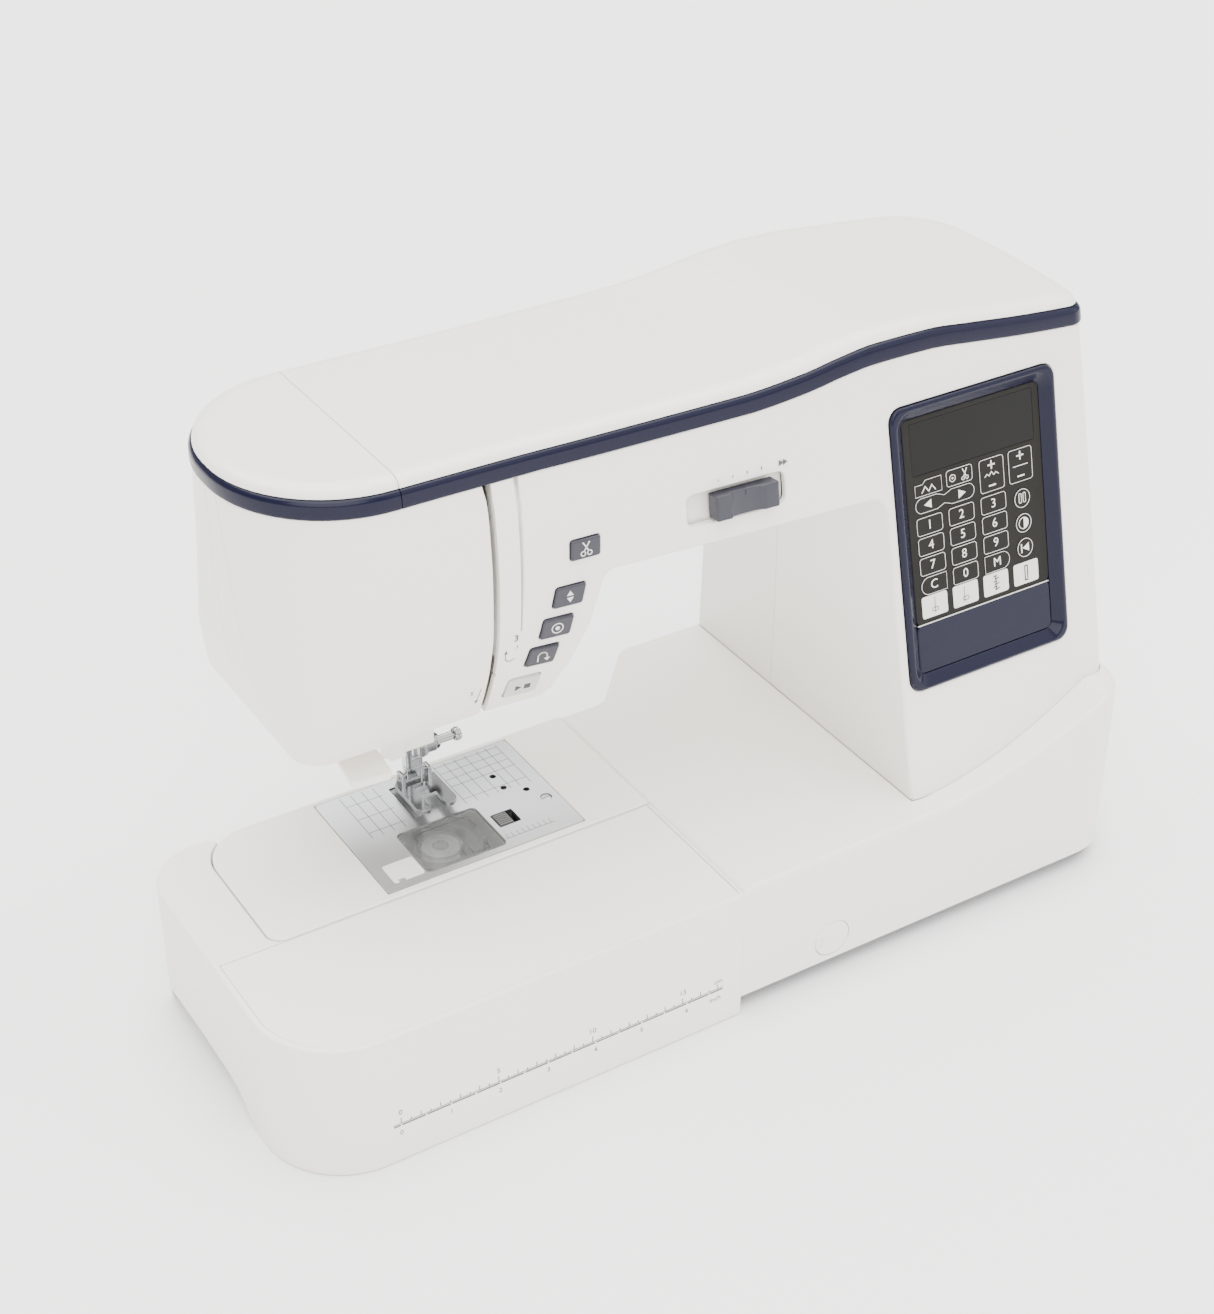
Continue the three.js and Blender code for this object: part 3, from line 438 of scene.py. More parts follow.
def front_cutter(name, outline, radius, reach):
    """A cutter through the front covers whose mouth flares, so that the cut's rim is rounded.

    The outline is in x and z. The cutter follows the front's curve and runs in by reach.
    """
    count = len(outline)
    pairs = [(outline[i - 1], outline[i]) for i in range(count)]
    area = sum(x0 * z1 - x1 * z0 for (x0, z0), (x1, z1) in pairs)
    turn = 1 if area > 0 else -1

    def grown(grow):
        points = []
        for i in range(count):
            (x0, z0), (x1, z1), (x2, z2) = outline[i - 1], outline[i], outline[(i + 1) % count]
            before = Vector((z1 - z0, x0 - x1)).normalized() * turn
            after = Vector((z2 - z1, x1 - x2)).normalized() * turn
            normal = (before + after).normalized()
            stretch = min(1 / max(normal.dot(after), 0.3), 1.5)
            points.append((x1 + normal.x * grow * stretch, z1 + normal.y * grow * stretch))
        return points

    deepest = max(front_y(x, z) for x, z in outline) + reach
    rings = [[(x, deepest, z) for x, z in outline]]
    for angle in (90, 68, 48, 30, 14):
        bend = math.radians(angle)
        sink = radius * (1 - math.cos(bend))
        rings.append([(x, front_y(x, z) + sink, z) for x, z in grown(radius * (1 - math.sin(bend)))])
    mouth = grown(radius * 0.8)
    rings.append([(x, front_y(x, z) - 6, z) for x, z in mouth])
    rings.append([(x, -20, z) for x, z in mouth])
    return skin(name, rings)


throat = [(COLUMN_LEFT, 60), (COLUMN_LEFT, ARM_UNDERSIDE - 9)]
throat += arc(COLUMN_LEFT - 9, ARM_UNDERSIDE - 9, 9, 0, 90, 8)[1:]
throat += arc(202, ARM_UNDERSIDE - 6, 6, 90, 150, 5)
throat += [(190, 202), (183, 182), (176.5, HEAD_BOTTOM + 5)]
throat += arc(170, HEAD_BOTTOM + 5.5, 5.5, 0, -90, 5)
throat += [(20, HEAD_BOTTOM), (20, 60)]
combine(body_outside, "DIFFERENCE", front_cutter("throat_hole", throat, 2.2, 150))
keep_wall = prism("keep_wall", "y", [
    (COLUMN_LEFT + COVER_WALL, 60), (COLUMN_LEFT + COVER_WALL, ARM_UNDERSIDE + COVER_WALL),
    (196, ARM_UNDERSIDE + COVER_WALL), (186, 202), (179, 182), (170, HEAD_BOTTOM + COVER_WALL),
    (20, HEAD_BOTTOM + COVER_WALL), (20, 60)], -10, 240)
combine(body_inside, "DIFFERENCE", keep_wall)
combine(body_outside, "DIFFERENCE", body_inside)
covers = body_outside

# Openings with rounded rims: the face cover's seam, the thread channel, and the pockets for
# the panel, the buttons and the slider; then plain openings for the mechanism and the wheel.
PANEL = {"x": 398, "z": 199.4, "half_width": 49.5, "half_height": 71.5, "lean": math.atan(COLUMN_SLOPE),
         "upright_share": 0.9718}
BUTTONS = [
    ("thread_cut_button", "cut_button", 187, 244.3, 14.4, 9.6, 0.3),
    ("needle_position_button", "needle_button", 178.8, 222.2, 14.4, 10, 2),
    ("lock_stitch_button", "lock_button", 173, 206.8, 14.4, 10.4, 1.8),
    ("reverse_button", "reverse_key", 167.4, 191.4, 13.8, 10.6, 2.2),
    ("start_stop_button", "start_button", 160.5, 173.4, 15.5, 11.5, 1.6),
]
SLOT = {"left": 239, "right": 290, "z": 247.5, "half_height": 7.5}


def rounded_quad(corners, radius, steps=4):
    """A four-sided outline with its corners rounded."""
    points = []
    count = len(corners)
    for i in range(count):
        corner = Vector(corners[i])
        before = (Vector(corners[i - 1]) - corner).normalized()
        after = (Vector(corners[(i + 1) % count]) - corner).normalized()
        for step in range(steps + 1):
            share = step / steps
            points.append(tuple(corner + before * radius * (1 - share) ** 2 + after * radius * share ** 2))
    return points


def button_outline(width, height, skew, grow=0.0):
    half_width, half_height = width / 2 + grow, height / 2 + grow
    return rounded_quad([
        (-half_width - skew / 2, -half_height), (half_width - skew / 2, -half_height),
        (half_width + skew / 2, half_height), (-half_width + skew / 2, half_height)], 1.3 + grow)


def fine(points, gap):
    """The same outline with extra points, so that no side is longer than a gap."""
    out = []
    for i, (x1, z1) in enumerate(points):
        x0, z0 = points[i - 1]
        steps = max(1, math.ceil(math.hypot(x1 - x0, z1 - z0) / gap))
        out += [(x0 + (x1 - x0) * s / steps, z0 + (z1 - z0) * s / steps) for s in range(1, steps + 1)]
    return out


seam_line = [(FACE_SEAM, HEAD_BOTTOM - 6), (FACE_SEAM + 0.5, HEAD_BOTTOM - 6), (FACE_SEAM + 0.5, 310),
             (FACE_SEAM, 310)]
seam_mouth = [(142.0, 276), (142.8, 277), (144.9, 300), (139.4, 300), (140.0, 290)]
seam_foot = [(141.9, 194.5), (141.9, 186), (145.6, 185.6)]
channel = [(155.6, 209), (156.2, 209), (158.5, 300), (155.9, 300)]
panel_hole = rounded_box(PANEL["x"] - PANEL["half_width"] - 0.3, PANEL["x"] + PANEL["half_width"] + 0.3,
                         PANEL["z"] - PANEL["half_height"] * PANEL["upright_share"] - 0.3,
                         PANEL["z"] + PANEL["half_height"] * PANEL["upright_share"] + 0.3, 7)
slot_hole = rounded_box(SLOT["left"], SLOT["right"], SLOT["z"] - SLOT["half_height"],
                        SLOT["z"] + SLOT["half_height"], 3)
cutters = [
    front_cutter("seam_cut", fine(seam_line, 6), 0.5, 12),
    front_cutter("seam_mouth_cut", fine(seam_mouth, 6), 0.4, 12),
    front_cutter("seam_foot_cut", fine(seam_foot, 6), 0.3, 12),
    front_cutter("channel_cut", fine(channel, 6), 0.5, 10),
    front_cutter("panel_cut", fine(panel_hole, 10), 0.7, 12),
    front_cutter("slot_cut", fine(slot_hole, 6), 1.0, 8),
]
for name, body, x, z, width, height, skew in BUTTONS:
    outline = [(x + u, z + v) for u, v in button_outline(width, height, skew, 0.35)]
    cutters.append(front_cutter(f"{name}_cut", outline, 0.4, 10))
cutters += [
    block("needle_opening", 104, 160, 130, 176, HEAD_BOTTOM - 8, HEAD_BOTTOM + 6),
    block("lifter_opening", 148, 160, 168, 208, HEAD_BOTTOM - 8, 187),
    block("threader_opening", 80, 90, 110, 120, HEAD_BOTTOM - 8, HEAD_BOTTOM + 6),
    rod("wheel_opening", "x", (128, 246), 33, 470, 492),
]
cutters += [prism(f"vent_{i}", "y", rounded_box(374 + 10 * i, 379 + 10 * i, 110, 140, 2.4), 192, 212)
            for i in range(8)]
combine(covers, "DIFFERENCE", *cutters)

side_seam = [(107.5, HEAD_BOTTOM - 10), (107.5, HEAD_BOTTOM), (128, 294), (129, 310)]
wider_seam = [(y + 0.45, z) for y, z in side_seam]
face_zone = prism("face_zone", "x", [(20, 150), *side_seam, (20, 310)], 20, FACE_SEAM + 0.25)
face_side = prism("face_side", "x", [(20, 150), *wider_seam, (20, 310)], 20, 144.8)
front_zone = block("front_zone", 20, 500, 0, PARTING, 60, 320)
rear_zone = block("rear_zone", 20, 500, PARTING + 0.35, 260, 60, 320)
face_cover = combine(copy_of(covers, "face_cover_shell"), "INTERSECT", face_zone)
front_cover = combine(copy_of(covers, "front_cover_shell"), "INTERSECT", front_zone)
combine(front_cover, "DIFFERENCE", face_side)
rear_cover = combine(covers, "INTERSECT", rear_zone)
rear_cover.name = "rear_cover_shell"

# An ivory rib closes the thread channel from inside; the take-up arm passes at its left.
rib_levels = []
for z in spread(196, 284, 24):
    near_row = [(x, front_y(x, z) + COVER_WALL + 0.2, z) for x in (145.4, 149, 155, 161)]
    far_row = [(x, front_y(x, z) + COVER_WALL + 4.5, z) for x in (161, 155, 149, 145.4)]
    rib_levels.append(near_row + far_row)
hand_over(skin("channel_rib", rib_levels), ivory_plastic, "machine_body", slot="ivory_cover")

# The handle's two hinge lugs stand on the rear cover.
HANDLE = {"left": 190, "right": 330, "y": 205.5, "z": 262, "drop": 20}
lugs = []
for side in ("left", "right"):
    x = HANDLE[side]
    lug = arc(HANDLE["y"] - 1.6, HANDLE["z"], 5.4, -90, 90, 10) + [(196, 267.4), (196, 256.6)]
    lugs.append(soften(prism(f"lug_{side}", "x", lug, x - 4, x + 4), 0.6))
combine(rear_cover, "UNION", *lugs)
combine(rear_cover, "DIFFERENCE",
        rod("pin_bore", "x", (HANDLE["y"], HANDLE["z"]), 3.3, HANDLE["left"] - 10, HANDLE["right"] + 10, 32))
hand_over(front_cover, ivory_plastic, "machine_body", "front_cover", slot="ivory_cover")
hand_over(rear_cover, ivory_plastic, "machine_body", "rear_cover", slot="ivory_cover")
hand_over(face_cover, ivory_plastic, "face_cover_door", "face_cover", slot="ivory_cover")

# ---- Trim band, head cap and top lid --------------------------------------------------------
# A glossy navy band runs round the top in two lengths, one on the head and one on the lid.
# The cap is clipped to the head; the lid hinges at the back. Both are ivory mouldings.

LID_SEAM = 102.5
LID_RISE = 5
BAND_PROFILE = [(0.1, -8.5), (-0.7, -8.2), (-1.0, -7.2), (-1.0, -2.6), (-0.75, -1.7), (-0.2, -0.9),
                (0.5, -0.25), (1.3, 0), (3.4, 0), (4, -0.6), (4, -8.5)]

navy_gloss = Finish("navy_gloss", Coat_Weight=0.12, Coat_Roughness=0.06, Specular_IOR_Level=0.15)
pearl = navy_gloss.noise(900, 2)
haze = navy_gloss.noise(12, 3)
smear = navy_gloss.noise(60, 5, roughness=0.7)
navy_band = navy_gloss.set(
    Base_Color=navy_gloss.blend(pearl * 0.5 + haze * 0.4,
                                rgb(0.0035, 0.0036, 0.0135), rgb(0.007, 0.0072, 0.025)),
    Roughness=smear * 0.14 + 0.16,
    Normal=navy_gloss.bump(smear, 0.00001))

band = skin("band", [upper_ring(rim(drop), inset) for inset, drop in BAND_PROFILE], closed=True)
cap_walls = [(-6, 0.7), (0.7, 0.7), (2.2, 1.1), (3.3, 2.0), (4.1, 3.3), (4.65, 5.0), (4.92, 7.0), (5.04, 9.5)]
cap_outside = skin("cap_outside", [upper_ring(rim(drop), inset) for drop, inset in cap_walls]
                   + [upper_ring(rim(25), 9.5)])
cap_inside = skin("cap_inside", [upper_ring(rim(drop), 5) for drop in (-14, 0, 12, 24)])


def top_slab(name, low, high):
    """Everything between two surfaces that follow the top edge."""
    stations = spread(20, 506, 100)
    under = [(x, top_edge(x) + low) for x in stations]
    over = [(x, top_edge(x) + high) for x in reversed(stations)]
    return prism(name, "y", under + over, -10, 240)


cap_inside = combine(cap_inside, "INTERSECT", top_slab("inside_slab", -16, LID_RISE - 2.6))
combine(cap_outside, "INTERSECT", top_slab("outside_slab", 0.3, LID_RISE))
combine(cap_outside, "DIFFERENCE", cap_inside)
for part, x0, x1, body, skin_node, band_node in (
        ("head", 20, LID_SEAM - 0.2, "machine_body", "head_cap", "head_trim"),
        ("lid", LID_SEAM + 0.2, 506, "lid", "top_lid", "lid_trim")):
    length_of_top = block("length", x0, x1, -10, 240, 250, 330)
    shell = combine(copy_of(cap_outside, f"{skin_node}_shell"), "INTERSECT", length_of_top, keep=True)
    strip = combine(copy_of(band, f"{band_node}_band"), "INTERSECT", length_of_top)
    hand_over(soften(shell, 0.35, 2, 50), ivory_plastic, body, skin_node, slot="ivory_cover")
    hand_over(strip, navy_band, body, band_node, slot="navy_trim")
bpy.data.objects.remove(cap_outside)
bpy.data.objects.remove(band)

# ---- Control panel -----------------------------------------------------------------------
# A glossy navy bezel holds a smoked display window and a printed keypad film with domed
# keys; below them the bezel's floor is a plain navy plate. It clips into the column.

panel_place = Matrix.Translation(Vector((PANEL["x"], front_y(PANEL["x"], PANEL["z"]), PANEL["z"])))
panel_place = panel_place @ Matrix.Rotation(-PANEL["lean"], 4, "X")


def from_local(piece, place):
    """Moves a piece made round the end-front corner of the machine to a place in millimetres."""
    corner = Matrix.Translation(in_place(0, 0, 0))
    metres = Matrix.Scale(MM, 4)
    piece.data.transform(corner @ metres @ place @ metres.inverted() @ corner.inverted())
    piece.data.update()
    return piece


def contour_stack(name, levels, closed=False):
    """A moulding through outlines at given depths: each level is (outline, y), in x and z."""
    return skin(name, [[(u, y, v) for u, v in outline] for outline, y in levels], closed)


def panel_outline(inset, radius, low=-PANEL["half_height"], high=PANEL["half_height"],
                  half=PANEL["half_width"]):
    """A rounded outline on the panel's plane, measured from the panel's middle."""
    return rounded_box(-half + inset, half - inset, low + inset, high - inset, max(radius - inset, 0.6), 8)


MOUTH = {"half": 41.5, "low": -64.5, "high": 64}


def bezel_mouth(grow):
    return panel_outline(-grow, 4, MOUTH["low"], MOUTH["high"], MOUTH["half"])


bezel = contour_stack("bezel", [
    (panel_outline(0, 7), 3.6), (panel_outline(0, 7), -0.3), (panel_outline(0.25, 7), -1.0),
    (panel_outline(0.8, 7), -1.45), (panel_outline(1.6, 7), -1.6), (bezel_mouth(5.6), -1.6),
    (bezel_mouth(5.0), -1.5), (bezel_mouth(4.5), -1.15), (bezel_mouth(0.35), 1.9), (bezel_mouth(0), 2.3),
    (bezel_mouth(0), 3.6)], closed=True)
from_local(bezel, panel_place)
hand_over(bezel, navy_band, "machine_body", "panel_bezel", slot="navy_trim", smooth=45)
floor_plate = contour_stack("floor_plate", [
    (rounded_box(-41.3, 41.3, -64.3, -39.3, 3), 3.4), (rounded_box(-41.3, 41.3, -64.3, -39.3, 3), 2.3),
    (rounded_box(-40.9, 40.9, -63.9, -39.7, 3), 1.95)])
from_local(floor_plate, panel_place)
hand_over(floor_plate, navy_band, "machine_body", slot="navy_trim")

smoked = Finish("smoked_window", Coat_Weight=0.1, Coat_Roughness=0.03, Specular_IOR_Level=0.12)
fog = smoked.noise(30, 4)
smoked_window = smoked.set(
    Base_Color=smoked.blend(fog, rgb(0.003, 0.0028, 0.0026), rgb(0.005, 0.0047, 0.0044)),
    Roughness=fog * 0.1 + 0.08)
window = contour_stack("window", [
    (rounded_box(-37.2, 37.2, 35.4, 61.4, 1), 3.3), (rounded_box(-37.2, 37.2, 35.4, 61.4, 1), 2.2),
    (rounded_box(-37.0, 37.0, 35.6, 61.2, 1), 2.05)])
from_local(window, panel_place)
hand_over(window, smoked_window, "machine_body", "display_screen", slot="screen_glass")

film = Finish("keypad_film", Specular_IOR_Level=0.1)
speckle = film.noise(1500, 2)
patch = film.noise(20, 3)
keypad_film = film.set(
    Base_Color=film.blend(speckle * 0.5 + patch * 0.4,
                          rgb(0.012, 0.0112, 0.0098), rgb(0.020, 0.0188, 0.0165)),
    Roughness=speckle * 0.15 + 0.38,
    Normal=film.bump(speckle, 0.000015))
keypad = contour_stack("keypad", [
    (rounded_box(-41.3, 41.3, -39.2, 63.8, 3), 3.4), (rounded_box(-41.3, 41.3, -39.2, 63.8, 3), 2.3),
    (rounded_box(-41.1, 41.1, -39, 63.6, 3), 2.1)])
combine(keypad, "DIFFERENCE", prism("window_hole", "y", rounded_box(-37.3, 37.3, 35.3, 61.5, 1), 1, 5))
# A thin pale strip along the navy floor plate's top edge is a painted highlight: the edge's glint is drawn as
# a flat ivory-printed line, not left to the lamps.
highlight_strip_outline = rounded_box(-40.9, 40.9, -39.55, -39.2, 0.1, 1)
painted_highlight_strip = contour_stack("plate_painted_highlight", [(highlight_strip_outline, 2.4), (highlight_strip_outline, 1.75)])
from_local(keypad, panel_place)
hand_over(keypad, keypad_film, "machine_body", "keypad_membrane", slot="keypad_film")

ink = Finish("printed_ivory")
ink_wear = ink.noise(700, 3)
printed_ivory = ink.set(
    Base_Color=ink.blend(ink_wear, rgb(0.80, 0.79, 0.74), rgb(0.68, 0.67, 0.63)),
    Roughness=ink_wear * 0.2 + 0.4)
# The painted highlight strip on the floor plate's top edge takes the ivory print finish.
hand_over(from_local(painted_highlight_strip, panel_place), printed_ivory, "machine_body")
KEY_FACE = 1.85


def key_outline(x, z, width, height, radius=1.6):
    return rounded_box(x - width / 2, x + width / 2, z - height / 2, z + height / 2, radius, 5)


def frame_line(name, outline, width, low, high):
    """A printed line that follows an outline, width wide, between two depths."""
    count = len(outline)
    rings = []
    for inset, y in ((0, low), (0, high), (width, high), (width, low)):
        ring = []
        for i in range(count):
            x0, z0 = outline[i - 1]
            x2, z2 = outline[(i + 1) % count]
            normal = Vector((z0 - z2, x2 - x0)).normalized()
            x, z = outline[i]
            ring.append((x + normal.x * inset, y, z + normal.y * inset))
        rings.append(ring)
    return skin(name, rings, closed=True)


def joined(name, pieces):
    """Several separate meshes as one piece."""
    whole = bmesh.new()
    for piece in pieces:
        whole.from_mesh(piece.data)
        bpy.data.objects.remove(piece)
    mesh = bpy.data.meshes.new(name)
    whole.to_mesh(mesh)
    whole.free()
    result = bpy.data.objects.new(name, mesh)
    bpy.context.scene.collection.objects.link(result)
    return result


def stroke(points, width, low, high):
    """A flat printed line through points in x and z, with square ends."""
    pieces = []
    for (x0, z0), (x1, z1) in zip(points, points[1:]):
        run = Vector((x1 - x0, z1 - z0)).normalized() * width / 2
        side = Vector((-run.y, run.x))
        start, end = Vector((x0, z0)) - run, Vector((x1, z1)) + run
        corners = [start - side, end - side, end + side, start + side]
        pieces.append(prism("stroke", "y", [tuple(c) for c in corners], low, high))
    return pieces


def label(words, x, z, size, low, high):
    """Printed digits or letters, centred at a place in x and z, as a thin solid mesh."""
    text = bpy.data.curves.new("digits", "FONT")
    text.body = words
    text.align_x = "CENTER"
    text.align_y = "CENTER"
    text.size = size
    text.extrude = (high - low) / 2
    text.resolution_u = 3
    holder = bpy.data.objects.new("digits", text)
    bpy.context.scene.collection.objects.link(holder)
    bpy.context.view_layer.update()
    graph = bpy.context.evaluated_depsgraph_get()
    mesh = bpy.data.meshes.new_from_object(holder.evaluated_get(graph))
    bpy.data.objects.remove(holder)
    mesh.transform(Matrix.Rotation(math.radians(90), 4, "X"))
    mesh.transform(Matrix.Translation((x, (low + high) / 2, z)))
    mesh.transform(Matrix.Translation(in_place(0, 0, 0)) @ Matrix.Scale(MM, 4))
    return tidy(bpy.data.objects.new("digits", mesh), 1e-8)


PRINT = (KEY_FACE - 0.12, KEY_FACE + 0.1)
COLUMNS = (-29.3, -10, 9.7)
KEY_TOP = 9.9
KEY_PITCH = 10.1
KEY_LINE = 0.22
DIGITS = ["1", "2", "3", "4", "5", "6", "7", "8", "9", "C", "0", "M"]
CLEAR_KEY, MEMORY_KEY, MODE_KEY = 9, 11, 12
keys = [(COLUMNS[i % 3], KEY_TOP - KEY_PITCH * (i // 3), 15.4, 8.9) for i in range(12)]
keys += [(-28.5, 28.8, 16, 7.6), (-9.8, 29.3, 15.7, 8.2), (9.8, 24.7, 14.9, 16.8), (27.6, 24.7, 14.6, 16.8)]
STITCH_KEYS = [(-29.8 + 19 * i, -31.1, 15.4, 11.2) for i in range(4)]
domes, lines, marks = [], [], []
for number, (x, z, width, height) in enumerate(keys):
    if number == CLEAR_KEY:
        outline = arc(x - 3.3, z, 4.45, 90, 270, 12) + [(x + 7.7, z - 4.45), (x + 7.7, z + 4.45)]
    elif number == MEMORY_KEY:
        outline = arc(x + 3.3, z, 4.45, -90, 90, 12) + [(x - 7.7, z + 4.45), (x - 7.7, z - 4.45)]
    elif number == MODE_KEY:
        outline = [(x - 8, z - 3.8), (x + 8, z - 3.8), (x + 8, z + 3.8), (x - 1.6, z + 3.8),
                   (x - 3.4, z + 2), (x - 8, z + 2)]
    else:
        outline = key_outline(x, z, width, height)
    domes.append(contour_stack("dome", [(outline, 2.5), (outline, KEY_FACE)]))
    lines.append(frame_line("line", outline, KEY_LINE, *PRINT))
for number, digit in enumerate(DIGITS):
    x, z = keys[number][:2]
    marks.append(label(digit, x, z, 6.6, *PRINT))
ROUND_KEYS = [(27.5, 7.6), (27.5, -5.2), (27.5, -18.0)]
for x, z in ROUND_KEYS:
    foot_of_dome = arc(x, z, 5.2, 0, 360, 36)[:-1]
    face_of_dome = arc(x, z, 4.8, 0, 360, 36)[:-1]
    domes.append(contour_stack("dome", [(foot_of_dome, 2.5), (foot_of_dome, KEY_FACE + 0.1),
                                        (face_of_dome, KEY_FACE)]))
    lines.append(frame_line("line", face_of_dome, 0.26, *PRINT))


def patch_of(points):
    return [prism("patch", "y", points, *PRINT)]


def printed_ring(x, z, radius, width, steps):
    return frame_line("line", arc(x, z, radius, 0, 360, steps)[:-1], width, *PRINT)


# The cursor key is a capsule with a waist, and carries an arrow head at each end.
waist = arc(-33.1, 20.3, 3.8, 90, 270, 12) + [(-24, 16.5), (-19.5, 18.2), (-15, 16.5)]
waist += arc(-5.1, 20.3, 3.8, -90, 90, 12) + [(-15, 24.1), (-19.5, 22.4), (-24, 24.1)]
domes.append(contour_stack("dome", [(waist, 2.5), (waist, KEY_FACE)]))
lines.append(frame_line("line", waist, KEY_LINE, *PRINT))
marks += patch_of([(-31.8, 20.3), (-27.4, 18.1), (-27.4, 22.5)])
marks += patch_of([(-6.6, 20.3), (-11, 22.5), (-11, 18.1)])

# The two tall keys carry a plus and a minus, with a wave for width and a line for length.
for x in (9.8, 27.6):
    marks += stroke([(x - 1.8, 29.6), (x + 1.8, 29.6)], 0.75, *PRINT)
    marks += stroke([(x, 27.8), (x, 31.4)], 0.75, *PRINT)
    marks += stroke([(x - 1.8, 19.2), (x + 1.8, 19.2)], 0.75, *PRINT)
wave = [(5.6, 24.2), (6.9, 25.4), (8.2, 24.2), (9.6, 26.2), (11, 24.2), (12.3, 25.4), (13.9, 24.2)]
marks += stroke(wave, 0.4, *PRINT)
marks += stroke([(23.2, 24.5), (32, 24.5)], 0.35, *PRINT)

# The mode key carries a zigzag; the lock and cut key a ringed dot and a pair of scissors.
marks += stroke([(-32.4, 26.6), (-30.4, 29.4), (-28.4, 26.6), (-26.4, 29.4), (-24.4, 26.6)], 0.5, *PRINT)
marks.append(printed_ring(-13.9, 29.1, 1.9, 0.35, 20))
marks += patch_of(arc(-13.9, 29.1, 0.55, 0, 360, 12)[:-1])
marks += stroke([(-7.6, 32), (-5.7, 28.3)], 0.5, *PRINT) + stroke([(-5.2, 32), (-7.1, 28.3)], 0.5, *PRINT)
for x in (-7.6, -5.2):
    marks.append(printed_ring(x, 27.4, 1, 0.35, 14))

# The round keys carry twin needles, a half filled disc and a return arrow.
for x in (26.2, 28.8):
    marks.append(frame_line("line", rounded_box(x - 0.9, x + 0.9, 5.2, 10.4, 0.7), 0.35, *PRINT))
marks += patch_of(arc(27.5, -5.2, 3.0, -90, 90, 14))
marks.append(printed_ring(27.5, -5.2, 3.1, 0.35, 28))
marks += stroke([(25.2, -20), (25.2, -16)], 0.7, *PRINT)
marks += patch_of([(25.9, -18), (29.8, -20.2), (29.8, -15.8)])
for x, z, width, height in STITCH_KEYS:
    outline = key_outline(x, z, width, height, 1.2)
    smaller = key_outline(x, z, width - 0.8, height - 0.8, 0.9)
    marks.append(contour_stack("stitch_key", [
        (outline, 2.5), (outline, KEY_FACE + 0.1), (smaller, KEY_FACE)]))
key_domes = from_local(joined("key_domes", domes), panel_place)
hand_over(key_domes, keypad_film, "machine_body", slot="keypad_film")
key_prints = from_local(joined("key_prints", lines + marks), panel_place)
hand_over(key_prints, printed_ivory, "machine_body")

# The ivory stitch keys carry two needle positions, a zigzag and a buttonhole in dark print.
DARK_PRINT = (KEY_FACE - 0.12, KEY_FACE - 0.12)
stitches = []
for x, z, pin in ((*STITCH_KEYS[0][:2], 0), (*STITCH_KEYS[1][:2], -0.9)):
    stitches += stroke([(x + pin, z + 4.2), (x + pin, z - 3.6)], 0.3, *DARK_PRINT)
    stitches.append(frame_line("loop", rounded_box(x - 1.9, x + 1.9, z - 3, z - 0.9, 1), 0.3, *DARK_PRINT))
x, z = STITCH_KEYS[2][:2]
for rise in (-2.7, 0, 2.7):
    bend = [(x - 1.6, z + rise + 0.9), (x + 0.2, z + rise + 1.3), (x - 0.6, z + rise - 0.6),
            (x + 1.6, z + rise)]
    stitches += stroke(bend, 0.5, *DARK_PRINT)
x, z = STITCH_KEYS[3][:2]
stitches.append(frame_line("hole", rounded_box(x - 1.1, x + 1.1, z - 4, z + 4, 0.4), 0.6, *DARK_PRINT))
stitch_prints = from_local(joined("stitch_prints", stitches), panel_place)
hand_over(stitch_prints, keypad_film, "machine_body")

# ---- Operating buttons ----------------------------------------------------------------------
# Five tampo-printed push buttons climb the head's right edge: start and stop in frosted clear
# plastic at the bottom, then reverse, lock stitch, needle up or down, and thread cutter.

BUTTON_PROUD = 1.4
slate = moulded("slate_plastic", rgb(0.020, 0.0195, 0.030), rgb(0.031, 0.030, 0.043), 0.42, 0.00002)
frosted = Finish("frosted_plastic", Transmission_Weight=0.25, IOR=1.46)
frost = frosted.noise(1200, 3)
frosted_plastic = frosted.set(
    Base_Color=frosted.blend(frost, rgb(0.80, 0.80, 0.78), rgb(0.66, 0.66, 0.66)),
    Roughness=frost * 0.2 + 0.3, Normal=frosted.bump(frost, 0.00002))


def surface_place(x, z):
    """A frame on the front covers, with y into the machine and z up the surface."""
    up = (front_y(x, z + 3) - front_y(x, z - 3)) / 6
    aside = (front_y(x + 3, z) - front_y(x - 3, z)) / 6
    right = Vector((1, aside, 0)).normalized()
    inwards = Vector((0, up, 1)).normalized().cross(right).normalized()
    top = right.cross(inwards).normalized()
    turn = Matrix((right, inwards, top)).transposed().to_4x4()
    return Matrix.Translation((x, front_y(x, z), z)) @ turn


FACE = (-BUTTON_PROUD - 0.06, -BUTTON_PROUD + 0.1)


def u_turn(low, high):
    """The reverse mark: up, over and down, with an arrow head at its end."""
    path = [(-2.2, -2.6), (-2.2, 0.4)] + arc(0, 0.4, 2.2, 180, 0, 8)[1:] + [(2.2, -1.2)]
    head = [(2.2, -3.0), (3.7, -1.1), (0.7, -1.1)]
    return stroke(path, 0.6, low, high) + [prism("head", "y", head, low, high)]


def scissors(low, high):
    """Two crossed blades over two finger rings."""
    pieces = stroke([(-1.1, -1.0), (1.5, 3.2)], 0.6, low, high)
    pieces += stroke([(1.1, -1.0), (-1.5, 3.2)], 0.6, low, high)
    for x in (-1.6, 1.6):
        pieces.append(frame_line("bow", arc(x, -2.1, 1.35, 0, 360, 18)[:-1], 0.5, low, high))
    return pieces


def up_and_down(low, high):
    return [prism("up", "y", [(-1.7, 0.5), (1.7, 0.5), (0, 3.0)], low, high),
            prism("down", "y", [(1.7, -0.5), (-1.7, -0.5), (0, -3.0)], low, high)]


def ringed_dot(low, high):
    return [frame_line("ring", arc(0, 0, 2.9, 0, 360, 28)[:-1], 0.5, low, high),
            prism("spot", "y", arc(0, 0, 1.1, 0, 360, 16)[:-1], low, high)]


def start_and_stop(low, high):
    return [prism("run", "y", [(-3.6, -2.0), (-0.4, 0), (-3.6, 2.0)], low, high),
            prism("halt", "y", [(0.8, -1.7), (3.9, -1.7), (3.9, 1.7), (0.8, 1.7)], low, high)]


